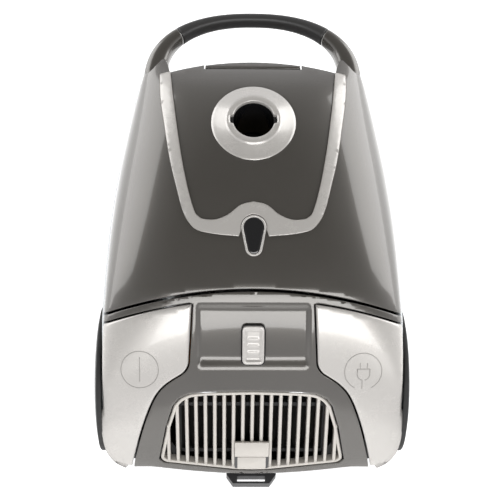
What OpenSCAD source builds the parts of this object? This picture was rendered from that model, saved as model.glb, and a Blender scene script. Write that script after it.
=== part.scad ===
// Canister vacuum cleaner with a paper dust bag, lying on two large rear wheels and one front caster.
// The nozzle of the hose plugs into the top. Rear is -Y, the carrying handle is at +Y, +Z is up.
// Origin: middle of the footprint, on the floor.

/* [Overall size] */
// Overall length, parking bracket to handle
body_length = 410; // [380:1:500]
// Width of the body over the pedals' outer edges
body_width = 267; // [250:1:330]
// Height of the lid's crown above the floor
crown_height = 223; // [205:1:268]
// Wall of the moulded covers
wall = 2.4; // [2:0.1:3]

/* [Wheels] */
// Diameter of a rear wheel over its tyre
wheel_d = 134; // [120:1:136]
// Width of a rear wheel
wheel_w = 29; // [22:1:29]
// Diameter of a wheel axle
axle_d = 10; // [8:0.5:12]
// Diameter of the caster wheel
caster_d = 36; // [30:1:38]
// Running clearance of a pin or shaft in its bore, on the radius
fit = 0.06; // [0.03:0.01:0.1]

/* [Hose inlet] */
// Bore that takes the hose nozzle
inlet_d = 36; // [32:0.5:38]
// Outer diameter of the inlet's cone
collar_d = 77; // [72:1:84]

/* [Moving parts] */
// Travel of a foot pedal
pedal_travel = 3.5; // [2:0.1:3.5]
// Gap around a moving cover
gap = 1.2; // [0.8:0.1:1.6]
// Number of slots between the ribs of the exhaust grille, each side of the middle rib
rib_pairs = 9; // [6:1:9]
// Outer diameter of the cord reel
reel_d = 84; // [76:1:86]
// Outer diameter of the motor's fan shroud
fan_d = 112; // [100:1:114]

/* [Hidden] */
$fn = 48;

// ---- frame of the design: x across, y forward from the foot of the rear cover, z up ----
rear_over = 9;                              // the parking bracket sticks out behind y = 0
kx = body_width / 267;
ky = body_length / 410;
kz = crown_height / 223;
mid_y = (body_length - 2 * rear_over * ky) / 2;
function at(x, y, z) = [x * kx, y * ky - mid_y, z * kz];
function lift(p, dz) = [p[0], p[1], p[2] + dz];
function mix(a, b, t) = a + (b - a) * t;

// ---- outer skin: a height field over the draw plane, 65 degrees above the floor ----
draw = 65;
sd = sin(draw);
cd = cos(draw);
function world(x, v, w) = at(x, sd * v - cd * w, cd * v + sd * w);

// Curve through [v, value] stations, with a smooth slope at each
function slope(t, i) =
    i == 0 ? (t[1][1] - t[0][1]) / (t[1][0] - t[0][0]) :
    i == len(t) - 1 ? (t[i][1] - t[i - 1][1]) / (t[i][0] - t[i - 1][0]) :
    (t[i + 1][1] - t[i - 1][1]) / (t[i + 1][0] - t[i - 1][0]);
function seg(t, v, i = 0) = i >= len(t) - 2 || v < t[i + 1][0] ? i : seg(t, v, i + 1);
function hermite(t, v, i) =
    let (h = t[i + 1][0] - t[i][0], u = (v - t[i][0]) / h)
    (1 + 2 * u) * pow(1 - u, 2) * t[i][1] + u * u * (3 - 2 * u) * t[i + 1][1]
    + h * u * pow(1 - u, 2) * slope(t, i) - h * u * u * (1 - u) * slope(t, i + 1);
function along(t, v) = hermite(t, v, seg(t, v));

// Half width, edge height and crown height of the skin along the draw plane
edge_x = [[16, 103], [22, 111], [31, 123], [45, 130.5], [75, 133], [110, 133.5], [187, 131.5],
    [242, 128.5], [292, 122.5], [335, 114.5], [364, 108], [382, 103.5], [400, 98]];
edge_w = [[16, 38], [22, 43], [31, 55], [45, 67], [75, 83], [105, 91.5], [135, 92.5], [158, 89],
    [187, 78], [242, 55], [292, 37], [335, 26], [364, 22], [382, 20.5], [400, 18]];
crown_w = [[16, 37.5], [22, 42.5], [45, 60], [70, 78], [97, 94.7], [119, 104.5], [150, 115],
    [178, 121.2], [190, 122.4], [222, 120.5], [255, 114.5], [300, 101], [340, 84], [372, 64],
    [400, 37]];
bow = 2.5;                                  // roundness of the cross sections
function skin_w(x, v) =
    let (q = min(1, abs(x) / along(edge_x, v)), e = along(edge_w, v), c = along(crown_w, v))
    e + (c - e) * pow(max(0, 1 - pow(q, bow)), 1 / bow);
function skin(x, v, drop = 0) = world(x, v, skin_w(x, v) - drop);
// The same skin by angle: 0 at the crown, 90 at the edge, pulled in by t all over
function arc_x(a, v) = sign(a) * along(edge_x, v) * pow(sin(abs(a)), 2 / bow);
function arc_c(a) = pow(cos(a), 2 / bow);
function by_angle(a, v, t = 0) =
    let (k = (along(edge_x, v) - t) / along(edge_x, v), e = along(edge_w, v), c = along(crown_w, v))
    world(k * arc_x(a, v), v, mix(e, c, arc_c(a)) - t);
function angle_at(x, v) = asin(pow(min(1, x / along(edge_x, v)), bow / 2));

// Closed solid between two grids of points of the same size
module between(top, under) {
    n = len(top);
    m = len(top[0]);
    pts = [for (g = [top, under]) for (row = g) each row];
    function id(s, i, j) = s * n * m + i * m + j;
    faces = concat(
        [for (i = [0:n - 2]) for (j = [0:m - 2]) each [
            [id(0, i, j), id(0, i + 1, j), id(0, i + 1, j + 1)],
            [id(0, i, j), id(0, i + 1, j + 1), id(0, i, j + 1)],
            [id(1, i, j), id(1, i + 1, j + 1), id(1, i + 1, j)],
            [id(1, i, j), id(1, i, j + 1), id(1, i + 1, j + 1)]]],
        [for (i = [0:n - 2]) each [
            [id(0, i, 0), id(1, i, 0), id(1, i + 1, 0)], [id(0, i, 0), id(1, i + 1, 0), id(0, i + 1, 0)],
            [id(0, i, m - 1), id(1, i + 1, m - 1), id(1, i, m - 1)],
            [id(0, i, m - 1), id(0, i + 1, m - 1), id(1, i + 1, m - 1)]]],
        [for (j = [0:m - 2]) each [
            [id(0, 0, j), id(1, 0, j + 1), id(1, 0, j)], [id(0, 0, j), id(0, 0, j + 1), id(1, 0, j + 1)],
            [id(0, n - 1, j), id(1, n - 1, j), id(1, n - 1, j + 1)],
            [id(0, n - 1, j), id(1, n - 1, j + 1), id(0, n - 1, j + 1)]]]);
    polyhedron(pts, faces);
}

// A moulded shell with its openings is one faceted solid
module moulded() { resize([0, 0, 0]) children(); }

// Closed tube through rings of points, each with the same number
module tube(rings) {
    n = len(rings);
    m = len(rings[0]);
    pts = [for (r = rings) each r];
    faces = concat(
        [for (i = [0:n - 2]) for (j = [0:m - 1]) each [
            [i * m + j, (i + 1) * m + j, i * m + (j + 1) % m],
            [i * m + (j + 1) % m, (i + 1) * m + j, (i + 1) * m + (j + 1) % m]]],
        [[for (j = [0:m - 1]) j], [for (j = [m - 1:-1:0]) (n - 1) * m + j]]);
    polyhedron(pts, faces);
}

// Block between two four-cornered faces, the lower one first
module block8(pts) {
    polyhedron(pts, [[0, 1, 2, 3], [7, 6, 5, 4], [4, 5, 1, 0], [5, 6, 2, 1], [6, 7, 3, 2], [7, 4, 0, 3]]);
}
function both_sides(half) = concat(half, [for (i = [len(half) - 1:-1:0]) [-half[i][0], half[i][1]]]);

module along_y(p, r, l) { translate(p) rotate([-90, 0, 0]) cylinder(r = r, h = l); }
module along_x(p, r, l) { translate(p) rotate([0, 90, 0]) cylinder(r = r, h = l); }
module ring_y(p, ro, ri, l) {
    translate(p) rotate([-90, 0, 0]) difference() {
        cylinder(r = ro, h = l);
        translate([0, 0, -1]) cylinder(r = ri, h = l + 2);
    }
}
module ring_x(p, ro, ri, l) {
    translate(p) rotate([0, 90, 0]) difference() {
        cylinder(r = ro, h = l);
        translate([0, 0, -1]) cylinder(r = ri, h = l + 2);
    }
}

// ---- base ----
base_inset = 1.6;                           // the covers overhang the base wall
floor_z = 20;                               // underside of the base above the ground
rim_drop = 10.6;                            // the base wall ends below the skin's edge
side_steps = 22;
function rail(v) = world(along(edge_x, v), v, along(edge_w, v));
v_foot = 16;
v_nose = 370;
v_tail = 36;
right_side = [for (i = [0:side_steps])
    let (u = i / side_steps) rail(mix(v_tail, v_nose, u * (0.55 + 0.45 * u)))];
nose_steps = 8;
nose = [for (i = [1:nose_steps - 1]) let (a = 90 - 180 * i / nose_steps)
    at(105 * sin(a), 330 + 18 * pow(cos(a), 0.8), 176)];
tail = [for (i = [-4:4]) at(112 * i / 4, 4 + 6 * pow(i / 4, 2), 49 + 10 * pow(i / 4, 4))];
tail_in = 13;                               // the rear wall leans in towards the ground
function mirrored(l) = [for (i = [len(l) - 1:-1:0]) [-l[i][0], l[i][1], l[i][2]]];
rim = concat(right_side, nose, mirrored(right_side), tail);
mid_base = at(0, 190, 0)[1];
function inward(p, t) = [p[0] - t * p[0] / (130 * kx), p[1] - t * (p[1] - mid_base) / (195 * ky), p[2]];
function nose_share(p) = pow(max(0, (p[1] - mid_base) / (160 * ky)), 3);
function tail_share(p) = pow(min(1, max(0, (mid_base - p[1]) / (190 * ky))), 6);
// Base wall at a share f of the way down from the rim, pulled in by t
function wall_at(p, f, t) =
    let (top = lift(p, -rim_drop),
        foot = [p[0] * 0.94, p[1] + 10 * ky * nose_share(p) + tail_in * tail_share(p), floor_z],
        q = mix(top, foot, f))
    inward([q[0], q[1] + 22 * ky * nose_share(p) * 4 * f * (1 - f), q[2]], t + base_inset);
wheel_y = at(0, 83, 0)[1];
wheel_z = wheel_d / 2;
drum_r = wheel_d / 2 - 17;                  // the part of a wheel inside the body
well_r = drum_r + 2;
wheel_x1 = at(143, 0, 0)[0];                // outer face of a wheel
wheel_x0 = wheel_x1 - wheel_w;
well_x = wheel_x0 - 3.5;
caster_y = at(0, 312, 0)[1];
caster_trail = 12;
caster_cup_r = caster_d / 2 + caster_trail + 3;
caster_roof = 46;
cup_wall = 2;
pin_d = 9;

module loft(t, f1, cap) {
    steps = 5;
    tube([for (i = [0:steps]) [for (p = rim) wall_at(p, f1 * (1 - i / steps), t)]]);
}
module base_body() {
    difference() {
        loft(0, 1);
        translate([0, 0, wall]) loft(wall, 1);
    }
}
module well(side) {
    x = side > 0 ? well_x - 2 : -well_x - 12;
    intersection() {
        difference() {
            along_x([x, wheel_y, wheel_z], well_r + 1.6, 14);
            along_x([side > 0 ? well_x : -well_x - 20, wheel_y, wheel_z], well_r, 20);
        }
        translate([-250, wheel_y - 100, floor_z]) cube([500, 200, 200]);
    }
}
bush_r = axle_d / 2 + 2.5;
module base_shell() {
    color("dimgray") moulded() difference() {
        union() {
            difference() {
                base_body();
                for (s = [-1, 1])
                    along_x([s > 0 ? well_x : -well_x - 60, wheel_y, wheel_z], well_r, 60);
            }
            well(1);
            well(-1);
        }
        along_x([-200, wheel_y, wheel_z], bush_r + 0.02, 400);
        along_y(cord_p - [0, 20, 0], outlet_r + 0.05, 40);
        translate([0, caster_y, floor_z - 1]) cylinder(r = caster_cup_r + cup_wall + 0.1, h = 10);
    }
}
module wheel_bushes() {
    color([0.85, 0.85, 0.82]) for (s = [-1, 1]) {
        ring_x([s > 0 ? well_x - 14 : -well_x - 1, wheel_y, wheel_z], bush_r, axle_d / 2 + fit, 15);
        ring_x([s > 0 ? well_x - 3.6 : -well_x + 2.1, wheel_y, wheel_z], bush_r + 3, bush_r - 0.5, 1.5);
    }
}
module caster_socket() {
    color([0.2, 0.2, 0.21]) translate([0, caster_y, 0]) difference() {
        union() {
            translate([0, 0, floor_z]) cylinder(r = caster_cup_r + cup_wall, h = caster_roof - floor_z);
            translate([0, 0, floor_z + wall + 0.05]) cylinder(r = caster_cup_r + cup_wall + 4, h = 2);
            translate([0, 0, caster_roof]) cylinder(r = pin_d / 2 + 4, h = 14);
        }
        translate([0, 0, floor_z - 1]) cylinder(r = caster_cup_r, h = caster_roof - floor_z - 1);
        translate([0, 0, caster_roof - 3]) cylinder(r = pin_d / 2 + fit, h = 18);
    }
}
strip_lip = 0.4;
strip_v0 = 60;
strip_v1 = 380;
// The strip is thinner and lower beside the pedals and the wheels
function forward_of(v, from, to) = min(1, max(0, (v - from) / (to - from)));
function strip_out(v) = mix(0.5, 2.2, forward_of(v, 135, 165));
function strip_top(v) = mix(-7, -4, forward_of(v, 160, 200));
module bumper_strip() {
    steps = 24;
    low = -rim_drop + 0.25;
    function sec(v) = let (p = rail(v), t = strip_top(v), i = inward(p, 3.4), l = inward(p, -strip_lip),
        o = inward(p, -strip_out(v)))
        [lift(i, low), lift(o, low), lift(o, t - 1), lift(inward(p, -strip_lip), t), lift(inward(p, 1), t),
            lift(inward(p, 1), low + 0.9), lift(i, low + 0.9)];
    color("gainsboro") for (s = [0, 1]) mirror([s, 0, 0])
        tube([for (i = [steps:-1:0]) sec(mix(strip_v0, strip_v1, i / steps))]);
}
bracket_z = 22;
bracket_h = 13;
module parking_bracket() {
    color([0.12, 0.12, 0.13]) translate(at(0, -9, bracket_z)) difference() {
        linear_extrude(bracket_h) polygon([[-17 * kx, 0], [17 * kx, 0], [23 * kx, 8.6 * ky], [23 * kx, 16.6 * ky],
            [-23 * kx, 16.6 * ky], [-23 * kx, 8.6 * ky]]);
        translate([-13, 1.9, -1]) cube([26, 5.2, bracket_h + 2]);
    }
}

// ---- rear cover, its openings and the parts in it ----
lid_v = 189.5;                              // rear edge of the lid at the crown
function foot_v(a) = v_foot - 0.2 + 7.5 * pow(min(1, share(a) / 0.8), 2);
function share(a) = pow(sin(abs(a)), 2 / bow);   // part of the half width that an angle reaches
function lid_edge_v(a) = lid_v - 22.7 * pow(share(a), 2);
deck_gap = 2.3;
pedal_v0 = 24;
function pedal_top_v(a) = 179.9 - 22.3 * pow(share(a), 2);
pedal_in = [[24, 109], [31, 107.5], [60, 99.5], [82, 91.6], [95, 85], [103, 78], [109, 70], [114, 62],
    [121, 57.2], [130, 56.2], [176, 53.6]];
tray_x = 48;
tray_v0 = 119;
tray_v1 = 176;
tray_deep = 7;
grille_half = [[0, -1], [15, -0.5], [79, 8.5], [83.5, 13], [76.5, 52], [70, 76], [64.5, 84.5],
    [56, 89.6], [41.5, 91.6], [0, 92.8]];
grille_tilt = 59.6;                         // grille face above the floor
function grille_at(x, s, w) =               // x across, s up the face, w out of it
    at(x, 1.3 + s * cos(grille_tilt) - w * sin(grille_tilt),
        47 + s * sin(grille_tilt) + w * cos(grille_tilt));
module on_grille(w0, w1) {
    translate(grille_at(0, 0, 0)) rotate([grille_tilt, 0, 0]) translate([0, 0, w0])
        linear_extrude(w1 - w0) children();
}
module grille_outline(more) { offset(delta = more) scale([kx, 1]) polygon(both_sides(grille_half)); }

module pedal_patch(t0, t1, grow) {
    rows = 16;
    cols = 8;
    function v_of(i, a) = mix(pedal_v0 - grow, pedal_top_v(a) + grow, i / rows);
    function a_of(i, j) = let (v = v_of(i, 45))
        mix(angle_at(along(pedal_in, max(pedal_v0, v)) - grow, v), 90, j / cols);
    function grid(t) = [for (i = [0:rows]) [for (j = [0:cols])
        by_angle(a_of(i, j), v_of(i, a_of(i, j)), t)]];
    between(grid(t0), grid(t1));
}
pedal_room = 1.5;
module pedal_hole() {
    inner = [for (v = [pedal_v0 - gap:3.4:174 + gap])
        [kx * (along(pedal_in, max(pedal_v0, v)) - gap - pedal_room), v]];
    top = [for (x = [54:11:131]) [kx * (x - (x == 54 ? gap : 0)), 179.9 - 22.3 * pow(x / 131.6, 2) + gap]];
    drawn_skin(concat(inner, top, [[kx * 150, 157], [kx * 150, pedal_v0 - gap]]));
}
module drawn_skin(outline) {
    // The draw direction follows the scaled frame, so the prism is built from its corner points
    n = len(outline);
    low = [for (p = outline) world(p[0] / kx, p[1], 10)];
    high = [for (p = outline) world(p[0] / kx, p[1], 150)];
    polyhedron(concat(low, high), concat([[for (i = [n - 1:-1:0]) i], [for (i = [0:n - 1]) n + i]],
        [for (i = [0:n - 1]) each [[i, (i + 1) % n, n + i], [(i + 1) % n, n + (i + 1) % n, n + i]]]));
}
module deck_skin() {
    rows = 20;
    cols = 28;
    function grid(t) = [for (i = [0:rows]) [for (j = [0:cols])
        let (a = mix(-90, 90, j / cols), v = mix(foot_v(a), lid_edge_v(a) - deck_gap, i / rows))
            by_angle(a, v, t)]];
    between(grid(0), grid(wall));
}
module tray_box(x, v0, v1, d0, d1) {
    low = [[-x, v0], [x, v0], [x, v1], [-x, v1]];
    pts = concat([for (p = low) world(p[0], p[1], skin_w(0, p[1]) - d1)],
        [for (p = low) world(p[0], p[1], skin_w(0, p[1]) - d0)]);
    block8(pts);
}
module rear_cover() {
    color([0.27, 0.26, 0.25]) moulded() difference() {
        union() {
            difference() {
                deck_skin();
                pedal_hole();
                mirror([1, 0, 0]) pedal_hole();
                on_grille(-12, 30) grille_outline(gap);
            }
            tray_box(tray_x + 2, tray_v0 - 2, tray_v1 + 2, 3.2, tray_deep + 2);
            grille_axis(grille_pin_r + 1.6, 60, 63.5);
        }
        tray_box(tray_x, tray_v0, tray_v1, -6, tray_deep);
        grille_axis(grille_pin_r + 0.4, 40, 59.6);
        grille_axis(grille_pin_r + 0.08, 59, 64);
        tray_box(2.2, tray_v0 + 3, tray_v1 - 3, -6, 20);
    }
}

module pedal(side) {
    moulded() mirror([side < 0 ? 1 : 0, 0, 0]) {
        pedal_patch(0, wall, 0);
        in_draw(skin(pedal_ring_x, pedal_ring_v, wall / 2)) translate([0, 0, -stem_l])
            cylinder(r = 4, h = stem_l);
    }
}
pedal_ring_x = 98.5;
pedal_ring_v = 117;
stem_l = 11;
module power_pedal() { color([0.78, 0.77, 0.75]) pedal(-1); }
module rewind_pedal() { color([0.78, 0.77, 0.75]) pedal(1); }

knob_v0 = 123.2;
knob_v1 = 157.3;
module suction_slider() {
    color([0.78, 0.77, 0.75]) {
        tray_box(10, knob_v0, knob_v1, -1.6, tray_deep - 0.6);
        tray_box(1.6, 138, 142, tray_deep - 1, tray_deep + 8);
    }
}
module slider_pot() {
    color([0.15, 0.15, 0.16]) difference() {
        tray_box(7, 120, 172, tray_deep + 5.6, tray_deep + 13);
        tray_box(2.4, 124, 168, tray_deep + 5, tray_deep + 9);
    }
}
module control_board() {
    color([0.1, 0.35, 0.2]) {
        tray_box(34, 118, 174, tray_deep + 13.1, tray_deep + 14.7);
        tray_box(10, 122, 128, tray_deep + 14.6, tray_deep + 20);
        for (s = [-1, 1]) tray_box_at(s * 22, 8, 132, 150, tray_deep + 14.6, tray_deep + 22);
        for (s = [-1, 1]) for (v = [119, 169]) 
            tray_box_at(s * 30, 2, v, v + 4, tray_deep + 3.3, tray_deep + 13.2);
    }
}
module tray_box_at(cx, x, v0, v1, d0, d1) { translate([cx * kx, 0, 0]) tray_box(x, v0, v1, d0, d1); }

// ---- exhaust ----
rib_pitch = 8.4;
rib_w = 2.1;
grille_t = 9;
hinge_s = 91.3;                             // the grille swings about its top edge
hinge_w = -2.2;
grille_pin_r = 1.2;
module grille_axis(r, x0, x1) {
    for (s = [-1, 1]) along_x(grille_at((s > 0 ? x0 : -x1), hinge_s, hinge_w), r, (x1 - x0) * kx);
}
module exhaust_grille() {
    color([0.84, 0.81, 0.78]) difference() {
        union() {
            on_grille(-grille_t, 0) {
                difference() {
                    grille_outline(0);
                    grille_outline(-3);
                }
                intersection() {
                    grille_outline(-2);
                    for (i = [-rib_pairs:rib_pairs])
                        translate([i * rib_pitch * kx - rib_w / 2, -5]) square([rib_w, 100]);
                }
            }
            on_grille(-grille_t - 1.6, -grille_t) intersection() {
                grille_outline(-0.4);
                for (s = [20, 62]) translate([-90 * kx, s]) square([180 * kx, 4]);
            }
        }
        grille_axis(grille_pin_r, 32, 60);
    }
}
latch_tab_x = 15.5;
module grille_latch() {
    color([0.84, 0.81, 0.78]) on_grille(0.3, 3) translate([-latch_tab_x, 2]) square([2 * latch_tab_x, 23]);
}
module grille_pins() { color("silver") grille_axis(grille_pin_r, 32.1, 63.3); }
filter_x = 68;
module hepa_frame() {
    color([0.85, 0.85, 0.83]) on_grille(-30, -13) difference() {
        translate([-filter_x * kx, 10]) square([filter_x * 2 * kx, 60]);
        translate([(-filter_x + 4) * kx, 14]) square([(filter_x - 4) * 2 * kx, 52]);
    }
}
module hepa_media() {
    pleats = 22;
    x = (filter_x - 4.3) * kx;
    step = 2 * x / pleats;
    top = [for (i = [0:pleats]) [-x + i * step, i % 2 == 0 ? -14 : -28]];
    under = [for (i = [pleats:-1:0]) [-x + i * step, i % 2 == 0 ? -15.2 : -29.2]];
    color([0.93, 0.92, 0.88]) translate(grille_at(0, 0, 0)) rotate([grille_tilt, 0, 0])
        translate([0, 65.6, 0]) rotate([90, 0, 0]) linear_extrude(51.2) polygon(concat(top, under));
}

// ---- motor ----
motor_x = at(-44, 0, 0)[0];
motor_z = floor_z + wall + 4 + fan_d / 2;
fan_y = at(0, 124, 0)[1];
fan_l = 28;
body_r = 36;
body_l = 44;
bulk_y = fan_y + fan_l + 3;
shaft_d = 8;
module bulkhead() {
    hole_r = 30;
    color([0.3, 0.3, 0.31])
    translate([0, bulk_y + 3, 0]) rotate([90, 0, 0]) linear_extrude(3) difference() {
        polygon([[-108 * kx, floor_z + wall + 0.1], [108 * kx, floor_z + wall + 0.1],
            [112 * kx, 132 * kz], [92 * kx, 164 * kz], [-92 * kx, 164 * kz], [-112 * kx, 132 * kz]]);
        translate([motor_x, motor_z]) circle(hole_r);
    }
}
module motor_filter() {
    color([0.9, 0.9, 0.88]) translate([motor_x - 38, bulk_y + 3.1, motor_z - 38]) cube([76, 7, 76]);
}
module fan_shroud() {
    color("silver") {
        ring_y([motor_x, fan_y, motor_z], fan_d / 2, fan_d / 2 - 2, fan_l);
        ring_y([motor_x, fan_y + fan_l - 2, motor_z], fan_d / 2 - 1, 20, 2);
        ring_y([motor_x, fan_y, motor_z], fan_d / 2 - 1, body_r - 6, 2);
    }
}
module motor_stator() {
    color([0.45, 0.3, 0.2]) ring_y([motor_x, fan_y - body_l, motor_z], body_r, 25, body_l - 0.1);
}
module motor_mounts() {
    color([0.1, 0.1, 0.1]) {
        ring_y([motor_x, fan_y + fan_l + 0.05, motor_z], fan_d / 2 - 4, 31, 2.9);
        for (s = [-1, 1]) translate([motor_x + s * 26 - 6, fan_y + 8, floor_z + wall + 0.05])
            cube([12, 12, 7.4]);
    }
}
module motor_bearings() {
    color("silver") {
        ring_y([motor_x, fan_y - body_l + 1, motor_z], 10, shaft_d / 2 + fit, 7);
        ring_y([motor_x, fan_y - 7.5, motor_z], 10, shaft_d / 2 + fit, 7);
        ring_y([motor_x, fan_y - body_l + 1, motor_z], 24.9, 10, 2);
        ring_y([motor_x, fan_y - 2.5, motor_z], 24.9, 10, 2);
    }
}
module armature() {
    color([0.6, 0.35, 0.2]) {
        along_y([motor_x, fan_y - body_l - 3, motor_z], shaft_d / 2, body_l + fan_l - 2);
        along_y([motor_x, fan_y - body_l + 11, motor_z], 22, 20);
        along_y([motor_x, fan_y - body_l + 8.5, motor_z], 8, 2.6);
    }
}
module impeller() {
    color("silver") {
        ring_y([motor_x, fan_y + 6, motor_z], fan_d / 2 - 5, shaft_d / 2 + fit, 1.6);
        ring_y([motor_x, fan_y + 16, motor_z], fan_d / 2 - 5, 18, 1.6);
        ring_y([motor_x, fan_y + 6, motor_z], 9, shaft_d / 2 + fit, 12);
        for (i = [0:6]) translate([motor_x, fan_y + 7.5, motor_z]) rotate([0, i * 360 / 7, 0])
            translate([19, 0, 0]) cube([fan_d / 2 - 25, 8.6, 1.6]);
    }
}
module brush_holders() {
    color([0.55, 0.42, 0.2]) for (s = [-1, 1])
        translate([motor_x + (s > 0 ? body_r + 0.1 : -body_r - 12.1), fan_y - body_l + 6, motor_z - 5])
            cube([12, 10, 10]);
}

// ---- cord reel ----
reel_x0 = at(28, 0, 0)[0];
reel_l = 60;
reel_y = at(0, 102, 0)[1];
reel_z = floor_z + wall + 5 + reel_d / 2;
reel_axle_d = 10;
module cord_reel() {
    color([0.2, 0.2, 0.21]) {
        ring_x([reel_x0, reel_y, reel_z], reel_d / 2, reel_axle_d / 2 + fit, 2);
        ring_x([reel_x0 + reel_l - 2, reel_y, reel_z], reel_d / 2, reel_axle_d / 2 + fit, 2);
        ring_x([reel_x0 + 1, reel_y, reel_z], 18, reel_axle_d / 2 + fit, reel_l - 2);
    }
}
module reel_axle() {
    color("silver") along_x([reel_x0 - 7, reel_y, reel_z], reel_axle_d / 2, reel_l + 14);
}
module reel_bracket() {
    h = reel_z - floor_z - wall - 0.05;
    color([0.25, 0.25, 0.26]) for (x = [reel_x0 - 6, reel_x0 + reel_l + 3]) difference() {
        union() {
            translate([x, reel_y - 14, floor_z + wall + 0.05]) cube([3, 28, h]);
            along_x([x, reel_y, reel_z], 14, 3);
        }
        along_x([x - 1, reel_y, reel_z], reel_axle_d / 2 + fit, 5);
    }
    plate_x = reel_x0 + reel_l + 3;
    color([0.25, 0.25, 0.26]) {
        translate([plate_x, brake_p[1] - 5, reel_z + 13]) cube([3, 10, brake_p[2] + 5 - reel_z - 13]);
        along_x([plate_x + 1, brake_p[1], brake_p[2]], brake_pin_r, brake_p[0] + 6 - plate_x);
    }
}
module reel_spring() {
    color([0.35, 0.37, 0.4]) ring_x([reel_x0 - 14.2, reel_y, reel_z], 22, 6, 7.5);
}
stem_foot = skin(pedal_ring_x, pedal_ring_v, wall / 2 + stem_l);
brake_pin_r = 2;
brake_arm = 26 * ky;
brake_p = [stem_foot[0] - 2.5, stem_foot[1] + brake_arm, stem_foot[2] - 4.8];
module brake_lever() {
    color([0.9, 0.9, 0.9]) difference() {
        union() {
            along_x(brake_p, 5, 5);
            translate([brake_p[0], brake_p[1] - 3, brake_p[2] - 24]) cube([5, 6, 22]);
            translate([brake_p[0], brake_p[1] - brake_arm - 4, brake_p[2] - 2.5])
                cube([5, brake_arm + 4, 5]);
        }
        along_x(brake_p - [1, 0, 0], brake_pin_r + fit, 7);
    }
}

// ---- switch under the power pedal ----
module in_draw(p) { translate(p) rotate([90 - draw, 0, 0]) children(); }
module switch_plunger() {
    color("white") in_draw([-stem_foot[0], stem_foot[1], stem_foot[2]])
        translate([0, 0, -10.4]) cylinder(r = 3, h = 10);
}
module power_switch() {
    color([0.15, 0.15, 0.16]) in_draw([-stem_foot[0], stem_foot[1], stem_foot[2]]) difference() {
        translate([-9.8, -11, -24]) cube([18.8, 22, 18]);
        translate([0, 0, -18]) cylinder(r = 3 + fit, h = 13);
    }
}
module pedal_springs() {
    turns = 2;
    first = wall + pedal_travel + 3.2;
    color("silver") for (s = [-1, 1]) in_draw(skin(s * pedal_ring_x, pedal_ring_v))
        for (i = [0:turns - 1]) translate([0, 0, -first - i * 1.7])
            rotate_extrude($fn = 24) translate([5.2, 0]) circle(r = 0.6, $fn = 16);
}
module housing_screws() {
    color("silver") for (x = [-1, 1]) for (y = [[40, 200], [58, 300]])
        translate([x * y[0] * kx, at(0, y[1], 0)[1], floor_z - 1.2]) cylinder(r = 4, h = 1.1);
}
cord_p = at(60, 8.5, 27);
outlet_r = 5;
module cord_outlet() {
    color([0.1, 0.1, 0.1]) {
        ring_y(cord_p, outlet_r, 3, 10);
        ring_y(cord_p, outlet_r + 1, 3, 1.2);
    }
}

// ---- rear wheels ----
rim_in = 8.6;                               // rim and tyre stay outside the body
module wheel_profile(r0, r1) {
    w = wheel_w;
    r = wheel_d / 2;
    polygon([[r0, 2], [r0, w - 5], [18, w - 0.5], [30, w], [r - 24, w - 0.8], [r - 12, w - 2.2],
        [r1, w - 4], [r1, w - rim_in], [drum_r, w - rim_in], [drum_r, 5], [drum_r - 5, 2],
        [drum_r - 10, 0.5], [20, 0.5]]);
}
module wheel(side) {
    x = side > 0 ? wheel_x0 : -wheel_x0;
    translate([x, wheel_y, wheel_z]) rotate([0, side * 90, 0]) rotate_extrude($fn = 72)
        wheel_profile(axle_d / 2 + fit, wheel_d / 2 - 4);
}
module tyre(side) {
    x = side > 0 ? wheel_x0 : -wheel_x0;
    translate([x, wheel_y, wheel_z]) rotate([0, side * 90, 0]) rotate_extrude($fn = 72)
        polygon([[wheel_d / 2 - 3.95, wheel_w - rim_in], [wheel_d / 2 - 1, wheel_w - rim_in],
            [wheel_d / 2, wheel_w - rim_in + 1.2], [wheel_d / 2, wheel_w - 5.4],
            [wheel_d / 2 - 1, wheel_w - 4.2], [wheel_d / 2 - 3.95, wheel_w - 3.8]]);
}
module wheel_left() { color([0.17, 0.18, 0.2]) wheel(-1); }
module wheel_right() { color([0.17, 0.18, 0.2]) wheel(1); }
module tyre_left() { color([0.08, 0.08, 0.09]) tyre(-1); }
module tyre_right() { color([0.08, 0.08, 0.09]) tyre(1); }
module wheel_axles() {
    color("silver") for (s = [-1, 1])
        along_x([s > 0 ? well_x - 14 : -(wheel_x1 - 7), wheel_y, wheel_z], axle_d / 2,
            wheel_x1 - 7 - well_x + 14);
}

// ---- caster ----
caster_axle_d = 5;
caster_wheel_w = 18;
caster_wheel_p = [0, caster_y - caster_trail, caster_d / 2];
module caster_fork() {
    top = caster_roof - 3.6;
    color([0.15, 0.15, 0.16]) difference() {
        union() {
            translate([0, caster_y, top - 3]) cylinder(r = 17, h = 3);
            translate([0, caster_y, top - 0.5]) cylinder(r = pin_d / 2, h = 15);
            for (s = [-1, 1])
                translate([s * (caster_wheel_w / 2 + 2.5) - 2, caster_y - caster_trail - 6, caster_d / 2 - 6])
                cube([4, caster_trail + 14, top - caster_d / 2 + 4]);
        }
        along_x([-20, caster_wheel_p[1], caster_wheel_p[2]], caster_axle_d / 2 + fit, 40);
    }
}
module caster_wheel() {
    color([0.2, 0.2, 0.22]) translate(caster_wheel_p) rotate([0, 90, 0]) rotate_extrude($fn = 48)
        polygon([[caster_axle_d / 2 + fit, -caster_wheel_w / 2], [caster_d / 2 - 3, -caster_wheel_w / 2],
            [caster_d / 2, -caster_wheel_w / 2 + 4], [caster_d / 2, caster_wheel_w / 2 - 4],
            [caster_d / 2 - 3, caster_wheel_w / 2], [caster_axle_d / 2 + fit, caster_wheel_w / 2]]);
}
module caster_axle() {
    l = caster_wheel_w + 10;
    color("silver") along_x([-l / 2, caster_wheel_p[1], caster_wheel_p[2]], caster_axle_d / 2, l);
}

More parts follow.
